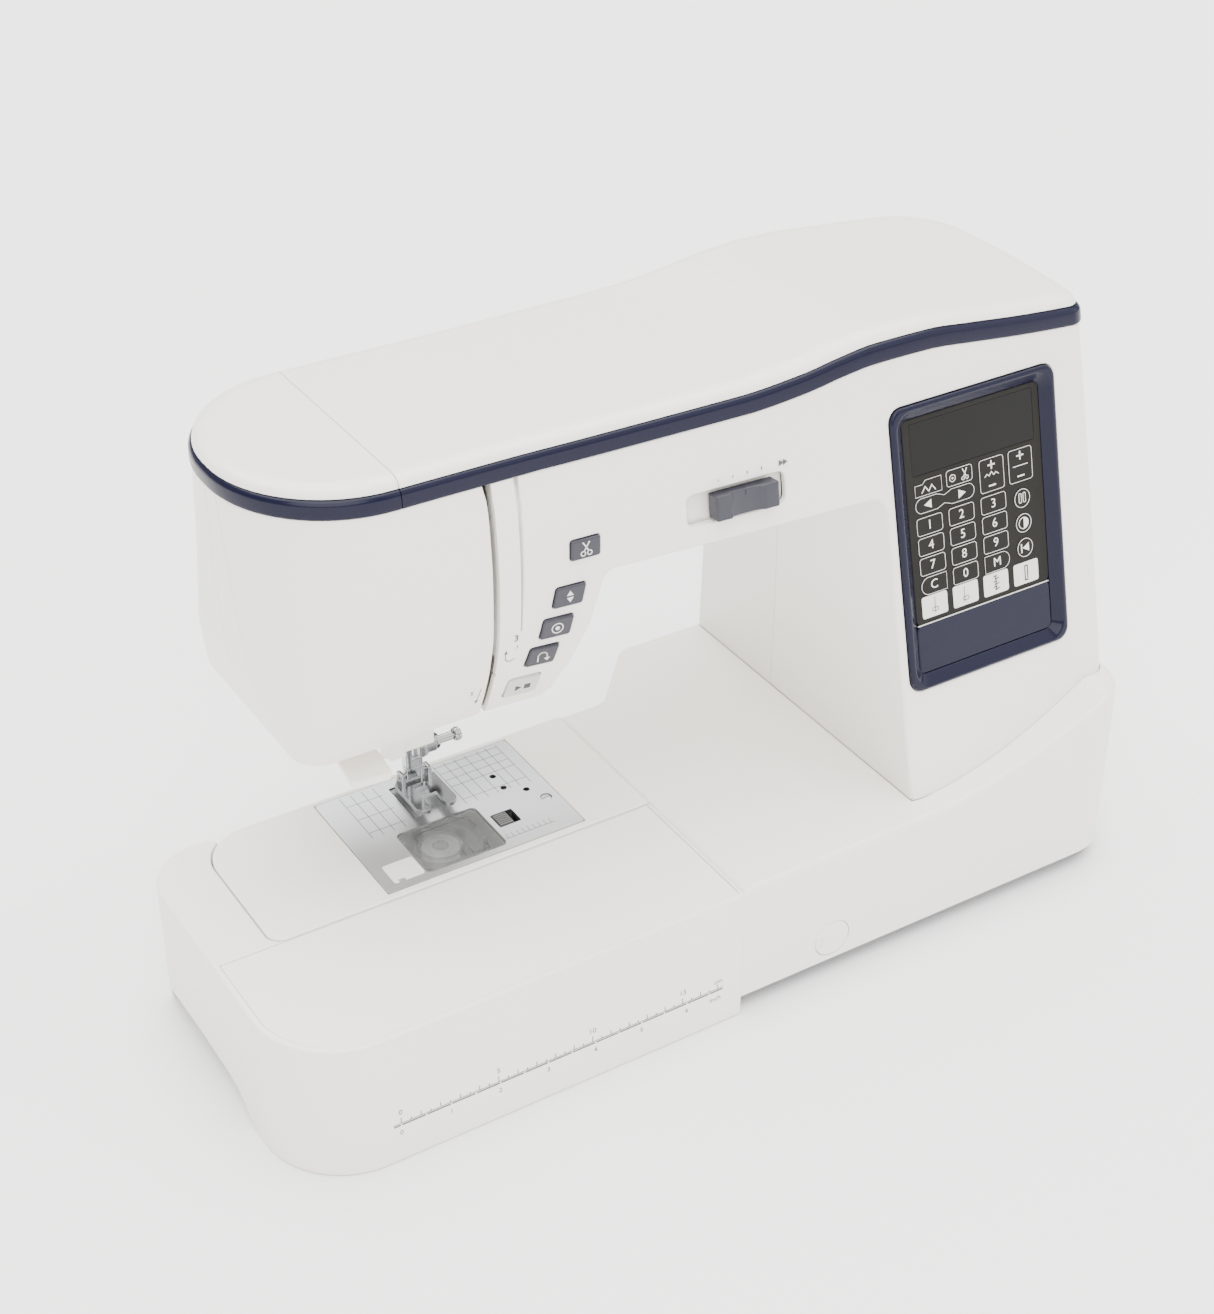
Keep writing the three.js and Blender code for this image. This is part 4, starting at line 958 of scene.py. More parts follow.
SYMBOLS = {"thread_cut_button": scissors, "needle_position_button": up_and_down,
           "lock_stitch_button": ringed_dot, "reverse_button": u_turn, "start_stop_button": start_and_stop}
CAP_LEVELS = [(0, 4), (0, -0.7), (-0.12, -1.05), (-0.4, -1.3), (-0.9, -BUTTON_PROUD)]
for name, body, x, z, width, height, skew in BUTTONS:
    button_place = surface_place(x, z)
    button_cap = contour_stack(f"{name}_cap", [
        (button_outline(width, height, skew, grow), y) for grow, y in CAP_LEVELS])
    clear = name == "start_stop_button"
    hand_over(from_local(button_cap, button_place), frosted_plastic if clear else slate, body, name,
              slot="clear_button" if clear else "slate_button")
    symbol = from_local(joined(f"{name}_symbol", SYMBOLS[name](*FACE)), button_place)
    hand_over(symbol, slate if clear else printed_ivory, body)

# ---- Speed slider -----------------------------------------------------------------------------
# A slate thumb slides in a recessed track. It has a hump at each end and a dark pointer on the
# saddle between; five ticks between a slow and a fast mark are printed above the track.

slider_place = surface_place(267, SLOT["z"])


def geometry_tree(name, inputs):
    """A Geometry Nodes tree with named size inputs, one Geometry output, and its input node."""
    tree = bpy.data.node_groups.new(name, "GeometryNodeTree")
    tree.interface.new_socket(name="Geometry", in_out="OUTPUT", socket_type="NodeSocketGeometry")
    for label_text, (kind, value) in inputs.items():
        socket = tree.interface.new_socket(name=label_text, in_out="INPUT", socket_type=kind)
        if value is not None:
            socket.default_value = value
    return tree, tree.nodes.new("NodeGroupInput"), tree.nodes.new("NodeGroupOutput")


def row_tree():
    """Copies a bar along a straight row; its count, start, step and bar size are inputs."""
    tree, given, result = geometry_tree("row_of_bars", {
        "Count": ("NodeSocketInt", 5), "Start": ("NodeSocketVector", (0, 0, 0)),
        "Step": ("NodeSocketVector", (0.01, 0, 0)), "Bar": ("NodeSocketVector", (0.001, 0.001, 0.01)),
        "Finish": ("NodeSocketMaterial", None)})
    line = tree.nodes.new("GeometryNodeMeshLine")
    bar = tree.nodes.new("GeometryNodeMeshCube")
    copies = tree.nodes.new("GeometryNodeInstanceOnPoints")
    real = tree.nodes.new("GeometryNodeRealizeInstances")
    paint = tree.nodes.new("GeometryNodeSetMaterial")
    join = tree.links.new
    join(given.outputs["Count"], line.inputs["Count"])
    join(given.outputs["Start"], line.inputs["Start Location"])
    join(given.outputs["Step"], line.inputs["Offset"])
    join(given.outputs["Bar"], bar.inputs["Size"])
    join(line.outputs["Mesh"], copies.inputs["Points"])
    join(bar.outputs["Mesh"], copies.inputs["Instance"])
    join(copies.outputs["Instances"], real.inputs["Geometry"])
    join(real.outputs["Geometry"], paint.inputs["Geometry"])
    join(given.outputs["Finish"], paint.inputs["Material"])
    join(paint.outputs["Geometry"], result.inputs["Geometry"])
    return tree


def ring_tree():
    """Copies a bar round a circle, turned with it; the ring is laid down by its own turn."""
    tree, given, result = geometry_tree("ring_of_bars", {
        "Count": ("NodeSocketInt", 48), "Radius": ("NodeSocketFloat", 0.03),
        "Bar": ("NodeSocketVector", (0.001, 0.001, 0.01)), "Centre": ("NodeSocketVector", (0, 0, 0)),
        "Lay": ("NodeSocketVector", (0, math.pi / 2, 0)), "Finish": ("NodeSocketMaterial", None)})
    circle = tree.nodes.new("GeometryNodeCurvePrimitiveCircle")
    points = tree.nodes.new("GeometryNodeCurveToPoints")
    bar = tree.nodes.new("GeometryNodeMeshCube")
    copies = tree.nodes.new("GeometryNodeInstanceOnPoints")
    lay = tree.nodes.new("GeometryNodeTransform")
    real = tree.nodes.new("GeometryNodeRealizeInstances")
    paint = tree.nodes.new("GeometryNodeSetMaterial")
    join = tree.links.new
    join(given.outputs["Radius"], circle.inputs["Radius"])
    join(circle.outputs["Curve"], points.inputs["Curve"])
    join(given.outputs["Count"], points.inputs["Count"])
    join(given.outputs["Bar"], bar.inputs["Size"])
    join(points.outputs["Points"], copies.inputs["Points"])
    join(points.outputs["Rotation"], copies.inputs["Rotation"])
    join(bar.outputs["Mesh"], copies.inputs["Instance"])
    join(copies.outputs["Instances"], lay.inputs["Geometry"])
    join(given.outputs["Lay"], lay.inputs["Rotation"])
    join(given.outputs["Centre"], lay.inputs["Translation"])
    join(lay.outputs["Geometry"], real.inputs["Geometry"])
    join(real.outputs["Geometry"], paint.inputs["Geometry"])
    join(given.outputs["Finish"], paint.inputs["Material"])
    join(paint.outputs["Geometry"], result.inputs["Geometry"])
    return tree


bar_row, bar_ring = row_tree(), ring_tree()


def grown_from(tree, name, **sizes):
    """Runs a tree with its inputs set by name, and keeps the plain mesh that it makes."""
    piece = bpy.data.objects.new(name, bpy.data.meshes.new(name))
    bpy.context.scene.collection.objects.link(piece)
    maker = piece.modifiers.new("maker", "NODES")
    maker.node_group = tree
    for item in tree.interface.items_tree:
        if item.in_out == "INPUT" and item.name in sizes:
            maker[item.identifier] = sizes[item.name]
    return baked(piece)


def bars(name, start, step, count, size, finish, place=None):
    """A row of bars; start, step and size are in millimetres in the machine's or a local frame."""
    corner = in_place(0, 0, 0)
    piece = grown_from(bar_row, name, Count=count, Start=tuple(corner + Vector(start) * MM),
                       Step=tuple(Vector(step) * MM), Bar=tuple(Vector(size) * MM), Finish=finish)
    return from_local(piece, place) if place else piece


track_floor = contour_stack("slider_track", [
    (rounded_box(-28.4, 23.4, -8.2, 8.2, 3), 5.4), (rounded_box(-28.4, 23.4, -8.2, 8.2, 3), 4.4)])
hand_over(from_local(track_floor, slider_place), ivory_plastic, "machine_body", slot="ivory_cover")
hump_left = [(-16, 2.6), (-16, -4.8), (-15.4, -5.8), (-8.4, -5.8), (-7.8, -5.4), (-7.4, -4.3)]
saddle = [(-3.6, -3.8), (0.5, -3.7), (4.6, -3.9), (7.6, -4.5)]
hump_right = [(9.2, -5.6), (10, -5.8), (16.4, -5.8), (17, -4.8), (17, 2.6)]
thumb = skin("slider_thumb", [[(x, y, z) for x, y in hump_left + saddle + hump_right] for z in (-6, 6)])
soften(thumb, 0.7, 3, 50)
hand_over(from_local(thumb, slider_place), slate, "speed_knob", "speed_slider", slot="navy_trim")
thumb_pointer = bars("thumb_pointer", (0.5, -3.75, 4.1), (1, 0, 0), 1, (0.7, 0.5, 2.6), slate, slider_place)
hand_over(thumb_pointer, slate, "speed_knob")

grey_ink = Finish("printed_grey")
grey_wear = grey_ink.noise(500, 4)
printed_grey = grey_ink.set(
    Base_Color=grey_ink.blend(grey_wear, rgb(0.055, 0.055, 0.065), rgb(0.10, 0.10, 0.11)),
    Roughness=grey_wear * 0.2 + 0.4)
SPEED_PRINT = (-0.08, 0.2)
speed_marks = [prism("slow", "y", [(-28, 10.6), (-25.4, 12), (-28, 13.4)], *SPEED_PRINT)]
for x in (20.4, 22.6):
    speed_marks.append(prism("fast", "y", [(x, 10.6), (x + 2.4, 12), (x, 13.4)], *SPEED_PRINT))
for i, tall in enumerate((0.9, 1.1, 1.3, 1.5, 1.7)):
    speed_tick = rounded_box(-19.4 + 7.6 * i, -19 + 7.6 * i, 11, 11 + tall, 0.1, 2)
    speed_marks.append(prism("tick", "y", speed_tick, *SPEED_PRINT))
hand_over(from_local(joined("speed_marks", speed_marks), slider_place), printed_grey, "machine_body")

# Thin threading marks: a numbered hook arrow beside the channel, a numbered arrow on the door.
LIGHT_PRINT = (-0.06, 0.15)
hook_path = [(2.6, 4.6), (2.6, -1.4)] + arc(-0.2, -1.4, 2.8, 0, -180, 10)[1:] + [(-3, 1.2)]
hook_arrow = stroke(hook_path, 0.45, *LIGHT_PRINT)
hook_arrow += [prism("head", "y", [(-4, 1), (-2, 1), (-3, 3.6)], *LIGHT_PRINT),
               label("3", 1.6, 9.2, 5.4, *LIGHT_PRINT)]
threading_mark = from_local(joined("threading_mark", hook_arrow), surface_place(151.8, 197))
hand_over(threading_mark, printed_grey, "machine_body")
door_arrow = stroke([(1.4, 5), (0.4, -3)], 0.42, *LIGHT_PRINT)
door_arrow += [prism("head", "y", [(-0.7, -2.8), (1.3, -3.0), (0, -5.4)], *LIGHT_PRINT),
               label("5", -3.2, 3.6, 4.2, *LIGHT_PRINT)]
door_mark = from_local(joined("door_mark", door_arrow), surface_place(137.4, 175))
hand_over(door_mark, printed_grey, "face_cover_door")

# ---- Base housing, base plate and rubber feet ------------------------------------------------
# One moulded skirt carries the bed and sweeps up round the column. A grey pan closes it from
# below on four rubber feet; a round cap in front hides a service screw.

BASE = {"left": 233.6, "front": 2, "back": 209, "bottom": 9, "edge": 3.4}
ARM = {"left": 30, "right": 233.2, "front": 84.2, "back": 171, "bottom": 14}
CAP = {"x": 288, "z": 22.6, "radius": 10}
INLET = {"y0": 142, "y1": 168, "z0": 30, "z1": 48}
SWITCH = {"y0": 112, "y1": 132, "z0": 32, "z1": 46}


def base_top(x):
    return BED_TOP + 30 * min(max((x - COLUMN_LEFT) / 112, 0), 1) ** 1.8


def base_ring(height, inset=0.0):
    """One level of the base's outline: straight in front, bowed at the right, notched behind."""
    def at(x):
        return height(x) if callable(height) else height

    def bow(y):
        return 487.5 - inset - 18 * ((y - 133) / 124) ** 2

    left, front = BASE["left"] + inset, BASE["front"] + inset
    back, notch = BASE["back"] - inset, ARM["back"] - inset
    plan = [(x, front) for x in spread(left, bow(front + 26) - 26, 32)[:-1]]
    plan += arc(bow(front + 26) - 26, front + 26, 26, 270, 355, 16)
    plan += [(bow(y), y) for y in spread(40, 170, 14)]
    plan += arc(bow(back - 28) - 28, back - 28, 28, 0, 90, 14)
    plan += [(x, back) for x in spread(bow(back - 28) - 28, 300, 24)[1:-1]]
    plan += arc(300, back - 14, 14, 90, 130, 6) + [(262, notch + 2), (254, notch), (left, notch)]
    return [(x, y, at(x)) for x, y in plan]


skirt = [base_ring(BASE["bottom"], 0.7), base_ring(BASE["bottom"] + 0.7)]
skirt += [base_ring(lambda x, s=s: 12 + (base_top(x) - BASE["edge"] - 12) * s) for s in spread(0, 1, 5)]
for angle in (15, 30, 45, 60, 75):
    turned_by = math.radians(angle)
    sink = BASE["edge"] * (1 - math.sin(turned_by))
    skirt.append(base_ring(lambda x, s=sink: base_top(x) - s, BASE["edge"] * (1 - math.cos(turned_by))))
skirt += [base_ring(lambda x: base_top(x) + 0.2, BASE["edge"]), base_ring(140, BASE["edge"])]
base = skin("base_shell", skirt)
stations = spread(BASE["left"] - 5, 500, 90)
under_sweep = prism("under_sweep", "y", [(BASE["left"] - 5, 0), (500, 0)]
                    + [(x, base_top(x)) for x in reversed(stations)], -10, 240)
combine(base, "INTERSECT", under_sweep)
base_inside = skin("base_inside", [base_ring(BASE["bottom"] - 2, 3), base_ring(BED_TOP - 3, 3)])
column_plug = skin("column_plug", [upper_ring(z, -0.35) for z in (74, 90, 110, 135)])
combine(column_plug, "INTERSECT", block("column_side", COLUMN_LEFT - 0.35, 510, -10, 240, 60, 140))
combine(base, "DIFFERENCE", base_inside, column_plug,
        prism("column_well", "z", rounded_box(356, 460, 40, 190, 6), 60, 90),
        block("arm_mouth", 230, 240, ARM["front"] - 0.2, 166, BASE["bottom"] + 3, BED_TOP - 3),
        rod("cap_hole", "y", (CAP["x"], CAP["z"]), CAP["radius"] + 0.35, -2, 10, 64),
        prism("inlet_hole", "x", rounded_box(INLET["y0"] - 0.3, INLET["y1"] + 0.3, INLET["z0"] - 0.3,
                                             INLET["z1"] + 0.3, 2), 478, 494),
        prism("switch_hole", "x", rounded_box(SWITCH["y0"] - 0.6, SWITCH["y1"] + 0.6, SWITCH["z0"] - 0.6,
                                              SWITCH["z1"] + 0.6, 2), 478, 494))
hand_over(base, ivory_plastic, "machine_body", "base_housing", slot="ivory_cover", smooth=38)


def turned(name, centre, profile, axis="z", closed=False, sides=56):
    """A turned piece: (radius, height) levels about an axis through a centre."""
    rings = []
    for radius, depth in profile:
        circle = arc(*centre, max(radius, 0.02), 0, 360, sides)[:-1]
        if axis == "x":
            rings.append([(depth, u, v) for u, v in circle])
        elif axis == "y":
            rings.append([(u, depth, v) for u, v in circle])
        else:
            rings.append([(u, v, depth) for u, v in circle])
    return skin(name, rings, closed)


cap_disc = turned("service_cap_disc", (CAP["x"], CAP["z"]), [
    (7, 11), (7, 5), (CAP["radius"], 5), (CAP["radius"], 2.2), (CAP["radius"] - 0.5, 1.7),
    (CAP["radius"] - 1, 1.6)], axis="y")
coin_slot = rounded_box(CAP["x"] - 8.6, CAP["x"] - 5.6, CAP["z"] - 3, CAP["z"] + 3, 1.4)
combine(cap_disc, "DIFFERENCE", prism("coin_slot", "y", coin_slot, 1, 2.3))
hand_over(cap_disc, ivory_plastic, "service_cap", "access_cap", slot="ivory_cover")

base_grey = moulded("base_grey", rgb(0.16, 0.16, 0.165), rgb(0.22, 0.22, 0.22), 0.55, 0.00003)
pan = skin("base_pan", [base_ring(5.6, 2.3), base_ring(6.2, 1.6), base_ring(8.2, 1.5), base_ring(8.7, 2.0)])
hand_over(pan, base_grey, "machine_body", "base_plate", slot="base_grey")
rubber = moulded("foot_rubber", rgb(0.028, 0.028, 0.030), rgb(0.050, 0.049, 0.048), 0.78, 0.00006)
FEET = {"front_left": (252, 22), "front_right": (450, 34), "rear_left": (322, 190), "rear_right": (448, 186)}
for corner, centre in FEET.items():
    rubber_foot = turned(f"foot_{corner}", centre, [
        (7.6, 0), (8.4, 0.25), (8.8, 0.9), (9, 2.2), (9, 4.6), (8.6, 5.2), (8.2, 5.3)])
    hand_over(rubber_foot, rubber, "machine_body", f"rubber_foot_{corner}", slot="foot_rubber")

# ---- Power inlet and power switch -------------------------------------------------------------
# A black appliance inlet with two brass pins, and a black rocker beside it. Both snap into
# windows in the base's bowed end.

black_plastic = moulded("black_plastic", rgb(0.018, 0.018, 0.020), rgb(0.034, 0.034, 0.035), 0.44, 0.00002)
brass = Finish("plated_pins", Metallic=1.0)
brass_wear = brass.noise(900, 4)
plated_pins = brass.set(Base_Color=brass.blend(brass_wear, rgb(0.72, 0.62, 0.40), rgb(0.60, 0.50, 0.30)),
                        Roughness=brass_wear * 0.2 + 0.22)
inlet_outline = rounded_box(INLET["y0"], INLET["y1"], INLET["z0"], INLET["z1"], 1.8)
inlet = prism("inlet_body", "x", inlet_outline, 470, 486.5)
combine(inlet, "DIFFERENCE", prism("inlet_well", "x", rounded_box(
    INLET["y0"] + 3, INLET["y1"] - 3, INLET["z0"] + 4, INLET["z1"] - 4, 3.5), 474, 490))
hand_over(soften(inlet, 0.5), black_plastic, "machine_body", "power_inlet", slot="black_plastic")
pins = [turned("pin", (y, 39), [(1.2, 473.6), (1.2, 482.6), (0.9, 483.6), (0.4, 484)], axis="x", sides=20)
        for y in (150, 160)]
hand_over(joined("inlet_pins", pins), plated_pins, "machine_body")
rocker_middle = (SWITCH["y0"] + SWITCH["y1"]) / 2
rocker = prism("rocker_key", "z", [
    (481, SWITCH["y0"]), (487.9, SWITCH["y0"]), (487.2, rocker_middle - 3), (487.2, rocker_middle + 1),
    (486, SWITCH["y1"]), (481, SWITCH["y1"])], SWITCH["z0"], SWITCH["z1"])
hand_over(soften(rocker, 0.7, angle=20), black_plastic, "rocker", "power_switch", slot="black_plastic")

# ---- Free arm, feed lever and needle plate ----------------------------------------------------
# The free arm is an ivory sleeve over the hook. A brushed steel plate drops into its top; the
# plate is engraved with seam guides, and a clear cover slides out of it over the bobbin.

PLATE = {"left": 91.2, "right": 198.8, "front": 88.2, "back": 167.8, "top": 75.2}
COVER = {"left": 114.4, "right": 157.6, "front": 92, "back": 126}
NEEDLE = {"x": 140, "y": 146}
NEEDLE_AT = (NEEDLE["x"], NEEDLE["y"])
PLATE_SCREW = (192.2, 114.4)


def arm_outline(wall):
    open_end = 5 if wall else 0
    return (arc(ARM["left"] + 24, ARM["back"] - 24, 24 - wall, 90, 180, 14)
            + arc(ARM["left"] + 8, ARM["front"] + 8, 8 - wall, 180, 270, 8)
            + [(ARM["right"] + open_end, ARM["front"] + wall), (ARM["right"] + open_end, ARM["back"] - wall)])


sleeve = soften(prism("arm_sleeve", "z", arm_outline(0), ARM["bottom"], BED_TOP), 0.8, 4)
combine(sleeve, "DIFFERENCE",
        prism("arm_hollow", "z", arm_outline(3), ARM["bottom"] + 3, BED_TOP - 4.4),
        block("plate_seat", PLATE["left"] - 0.4, PLATE["right"] + 0.4,
              PLATE["front"] - 0.4, PLATE["back"] + 0.4, BED_TOP - 2.3, BED_TOP + 2),
        block("hook_well", PLATE["left"] + 5, PLATE["right"] - 5,
              PLATE["front"] + 2, PLATE["back"] - 5, 60, 77),
        prism("lever_slot", "y", rounded_box(196, 216, 30, 36, 2.8), 160, 176))
hand_over(sleeve, ivory_plastic, "machine_body", "free_arm", slot="ivory_cover")
lever = joined("feed_lever_knob", [
    soften(block("stem", 202, 207, 164, 169.8, 31, 35), 0.4),
    soften(block("thumb", 201, 208, 171.4, 173.6, 30.4, 35.6), 0.9, 4),
    block("neck", 203, 206, 169.5, 171.8, 31.5, 34.5)])
hand_over(lever, slate, "drop_lever", "drop_feed_lever", slot="slate_button")

steel = Finish("brushed_steel", Metallic=1.0, Anisotropic=0.5)
strokes_fine = steel.noise(700, 3, stretch=(0.02, 1, 1))
strokes_broad = steel.noise(160, 4, stretch=(0.05, 1, 1))
tarnish = steel.noise(30, 4)
brushed_plate = steel.set(
    Base_Color=steel.blend(tarnish * 0.6 + strokes_broad * 0.3,
                           rgb(0.74, 0.75, 0.76), rgb(0.60, 0.61, 0.63)),
    Roughness=strokes_fine * 0.16 + tarnish * 0.08 + 0.24,
    Normal=steel.bump(strokes_fine, 0.00001))
plate_outline = rounded_box(PLATE["left"], PLATE["right"], PLATE["front"], PLATE["back"], 2)
plate = soften(prism("stitch_plate", "z", plate_outline, BED_TOP - 2, PLATE["top"]), 0.25, 2)
THROUGH_PLATE = (70, 78)
cover_seat = rounded_box(COVER["left"] - 0.3, COVER["right"] + 0.3, COVER["front"] - 0.3,
                         COVER["back"] + 0.3, 3.3)
needle_slot = rounded_box(NEEDLE["x"] - 4.4, NEEDLE["x"] + 4.4, NEEDLE["y"] - 1.5, NEEDLE["y"] + 1.5, 1.4)
plate_tools = [
    prism("cover_seat", "z", cover_seat, *THROUGH_PLATE),
    prism("button_seat", "z", rounded_box(160.6, 172.6, 104.6, 115.4, 0.8), *THROUGH_PLATE),
    prism("needle_slot", "z", needle_slot, *THROUGH_PLATE),
]
for i, spot in enumerate(((178, 143), (178, 132), (187, 125))):
    plate_tools.append(rod(f"guide_hole_{i}", "z", spot, 1.7, *THROUGH_PLATE, 24))
for side, x in (("left", 131.2), ("right", 148.8)):
    feed_slot = rounded_box(x - 2.6, x + 2.6, 133, 161, 0.8)
    plate_tools.append(prism(f"feed_slot_{side}", "z", feed_slot, *THROUGH_PLATE))
plate_tools.append(turned("screw_seat", PLATE_SCREW, [(3.0, 73.6), (3.0, 76)]))
combine(plate, "DIFFERENCE", *plate_tools)
hand_over(plate, brushed_plate, "machine_body", "needle_plate", slot="brushed_plate")
plate_screw = turned("plate_screw", PLATE_SCREW, [(2.6, 73.8), (2.6, 74.75), (2.3, 74.98), (0.1, 75.04)])
combine(plate_screw, "DIFFERENCE", block("screw_slot", 189, 196, 113.9, 114.9, 74.2, 76))
hand_over(plate_screw, brushed_plate, "machine_body")


def flat_marks(name, strips, low, high):
    """Thin printed or filled lines on a level surface: each is (x0, x1, y0, y1)."""
    return joined(name, [block("mark", *strip, low, high) for strip in strips])


guides = [(x, x + 0.3, 129.5, 166) for x in (156, 162, 168, 174, 181, 186, 192)]
guides += [(104 + 6 * i, 104.3 + 6 * i, 129.5, 166) for i in range(4)]
guides += [(156, 192, y, y + 0.3) for y in (134, 146, 152, 158, 164)]
guides += [(104, 124, y, y + 0.3) for y in (134, 146, 158)]
guides += [(160 + 3 * i, 160.25 + 3 * i, 95.5, 99) for i in range(9)] + [(158.6, 186, 95.2, 95.5)]
seam_guides = flat_marks("seam_guides", guides, PLATE["top"] - 0.1, PLATE["top"] + 0.03)
hand_over(seam_guides, slate, "machine_body")
index_outline = rounded_box(97.2, 113.4, 93.2, 107.4, 1.4)
index_card = prism("index_mark", "z", index_outline, PLATE["top"] - 0.1, PLATE["top"] + 0.3)
combine(index_card, "DIFFERENCE", prism("index_slit", "z", rounded_box(99.4, 103.4, 93, 95.2, 0.9), 74, 77))
hand_over(index_card, ivory_plastic, "machine_body")

clear = Finish("clear_plastic", Transmission_Weight=0.92, IOR=1.49)
clear_haze = clear.noise(60, 4)
clear_plastic = clear.set(
    Base_Color=clear.blend(clear_haze, rgb(0.96, 0.97, 0.97), rgb(0.90, 0.92, 0.92)),
    Roughness=clear_haze * 0.07 + 0.03)
window_outline = rounded_box(COVER["left"], COVER["right"], COVER["front"], COVER["back"], 3)
window_plate = soften(prism("hook_window", "z", window_outline, BED_TOP - 1.8, PLATE["top"]), 0.5, 3)
hand_over(window_plate, clear_plastic, "hook_cover_body", "hook_cover", slot="clear_plastic")
cover_marks = [(121, 151, 121, 121.35), (121, 121.35, 112, 121), (150.65, 151, 112, 121),
               (136, 136.35, 94, 99), (140, 149, 94, 94.35), (140, 140.35, 94, 98.4),
               (148.65, 149, 94, 98.4)]
cover_lines = flat_marks("cover_lines", cover_marks, PLATE["top"] - 0.05, PLATE["top"] + 0.04)
hand_over(cover_lines, slate, "hook_cover_body")
catch = soften(block("catch", 161, 169, 105, 115, 69, BED_TOP + 0.2), 0.4)
hand_over(catch, black_plastic, "release_button", "cover_release_button", slot="black_plastic")
first_rib = (165, 106.2, BED_TOP + 0.25)
catch_ribs = bars("catch_ribs", first_rib, (0, 1.5, 0), 6, (7, 0.7, 0.7), base_grey)
hand_over(catch_ribs, base_grey, "release_button")

# ---- Feed dog, hook and bobbin ----------------------------------------------------------------
# Under the plate a toothed steel feed dog moves the cloth. The hook turns round a black bobbin
# holder, which holds a clear bobbin wound with pale thread.

HOOK = (135, 119)


def dog_row(name, x, front, back):
    """One row of the feed dog: saw teeth raked towards the back, on a straight bar."""
    half_width, teeth = 2, 14
    pitch = (back - front) / teeth
    outline = [(front, 70), (back, 70), (back, 74.2)]
    for tooth in range(teeth, 0, -1):
        outline += [(front + pitch * tooth - pitch * 0.2, 75.1), (front + pitch * (tooth - 1), 74.3)]
    return prism(name, "x", outline, x - half_width, x + half_width)


dog = block("dog_bar", 128.6, 151.4, 143.8, 161, 67, 70.4)
combine(dog, "UNION", dog_row("left_row", 131.2, 134, 160), dog_row("right_row", 148.8, 134, 160))
combine(dog, "DIFFERENCE", rod("dog_hole", "z", NEEDLE_AT, 4, 60, 72, 32))
hand_over(dog, brushed_plate, "feed", "feed_dog", slot="shaft_steel")

chrome = Finish("chrome", Metallic=1.0)
chrome_film = chrome.noise(50, 5)
chrome_rub = chrome.noise(900, 3, stretch=(1, 1, 0.05))
chrome_parts = chrome.set(
    Base_Color=chrome.blend(chrome_film, rgb(0.56, 0.565, 0.57), rgb(0.42, 0.425, 0.435)),
    Roughness=chrome_film * 0.10 + chrome_rub * 0.06 + 0.06)
race = turned("hook_race", HOOK, [
    (0, 36), (8.6, 36), (9, 36.4), (9, 42), (23.4, 44.8), (24, 45.4), (24.6, 63.4), (24, 64), (23, 64),
    (22.4, 63.6), (21.6, 48), (0, 46)])
thread_notch = rounded_box(HOOK[0] + 16, HOOK[0] + 26, HOOK[1] - 5, HOOK[1] + 5, 2)
combine(race, "DIFFERENCE", prism("thread_notch", "z", thread_notch, 58, 66))
hand_over(race, chrome_parts, "hook", "rotary_hook", slot="shaft_steel")
holder = turned("bobbin_case", HOOK, [
    (0, 49), (20.2, 50.9), (20.6, 51.4), (21.4, 64), (21.4, 66.1), (21, 66.5), (19.8, 66.5), (19.4, 66.1),
    (18.6, 64), (13.4, 64), (13, 63.6), (11.6, 53.9), (11.3, 53.6), (0, 53.6)])
hand_over(holder, black_plastic, "machine_body", "bobbin_holder", slot="black_plastic")
reel = turned("bobbin_reel", HOOK, [
    (0, 54), (10.5, 54), (10.8, 54.3), (10.8, 54.9), (10.5, 55.2), (4, 55.4), (4, 63.6), (10.5, 63.8),
    (10.8, 64.1), (10.8, 64.7), (10.5, 65), (0, 65)])
hand_over(reel, clear_plastic, "bobbin_body", "bobbin", slot="clear_plastic")
yarn = Finish("white_thread", Sheen_Weight=0.4)
turns_of_thread = yarn.noise(500, 3, stretch=(1, 1, 8))
white_thread = yarn.set(
    Base_Color=yarn.blend(turns_of_thread, rgb(0.90, 0.89, 0.86), rgb(0.72, 0.70, 0.66)),
    Roughness=turns_of_thread * 0.2 + 0.65, Normal=yarn.bump(turns_of_thread, 0.00015))
rows_of_thread = [(9.2 + 0.18 * (i % 2), 55.8 + 0.38 * i) for i in range(20)]
winding = turned("bobbin_thread", HOOK, [
    (4.1, 55.6), (9.2, 55.6), *rows_of_thread, (9.2, 63.4), (4.1, 63.4)], closed=True)
hand_over(winding, white_thread, "bobbin_body")

# ---- Needle bar, clamp, needle, take-up and presser foot ---------------------------------------
# Turned and stamped chrome-plated steel. The bars slide in the head's casting; the clamp holds
# the needle by a thumb screw, and the foot snaps on to its holder by a cross pin.

FOOT_PIN = (154, 86)
FOOT_SCREW = (157, 98)
CLAMP_SCREW = (NEEDLE["y"], 106.5)
PRESSER_AT = (140, 162)
needle_rod = turned("needle_rod", NEEDLE_AT, [(2.7, 112.3), (3.1, 112.8), (3.1, 235.5), (2.7, 236)])
hand_over(needle_rod, chrome_parts, "needle_bar_body", "needle_bar", slot="chrome_parts")
clamp = turned("clamp_barrel", NEEDLE_AT, [
    (3.4, 102), (4.2, 102.7), (4.2, 108.4), (3.9, 108.7), (3.9, 109.1), (4.2, 109.4), (4.2, 111.5),
    (3.7, 112)])
clamp_lug = block("clamp_lug", NEEDLE["x"], NEEDLE["x"] + 8, NEEDLE["y"] - 3.2, NEEDLE["y"] + 3.2, 103, 110)
thread_guide = block("thread_guide", NEEDLE["x"] - 6, NEEDLE["x"] - 1, NEEDLE["y"] - 4, NEEDLE["y"] - 2.6,
                     102.4, 103.8)
combine(clamp, "UNION", soften(clamp_lug, 0.7), soften(thread_guide, 0.5))
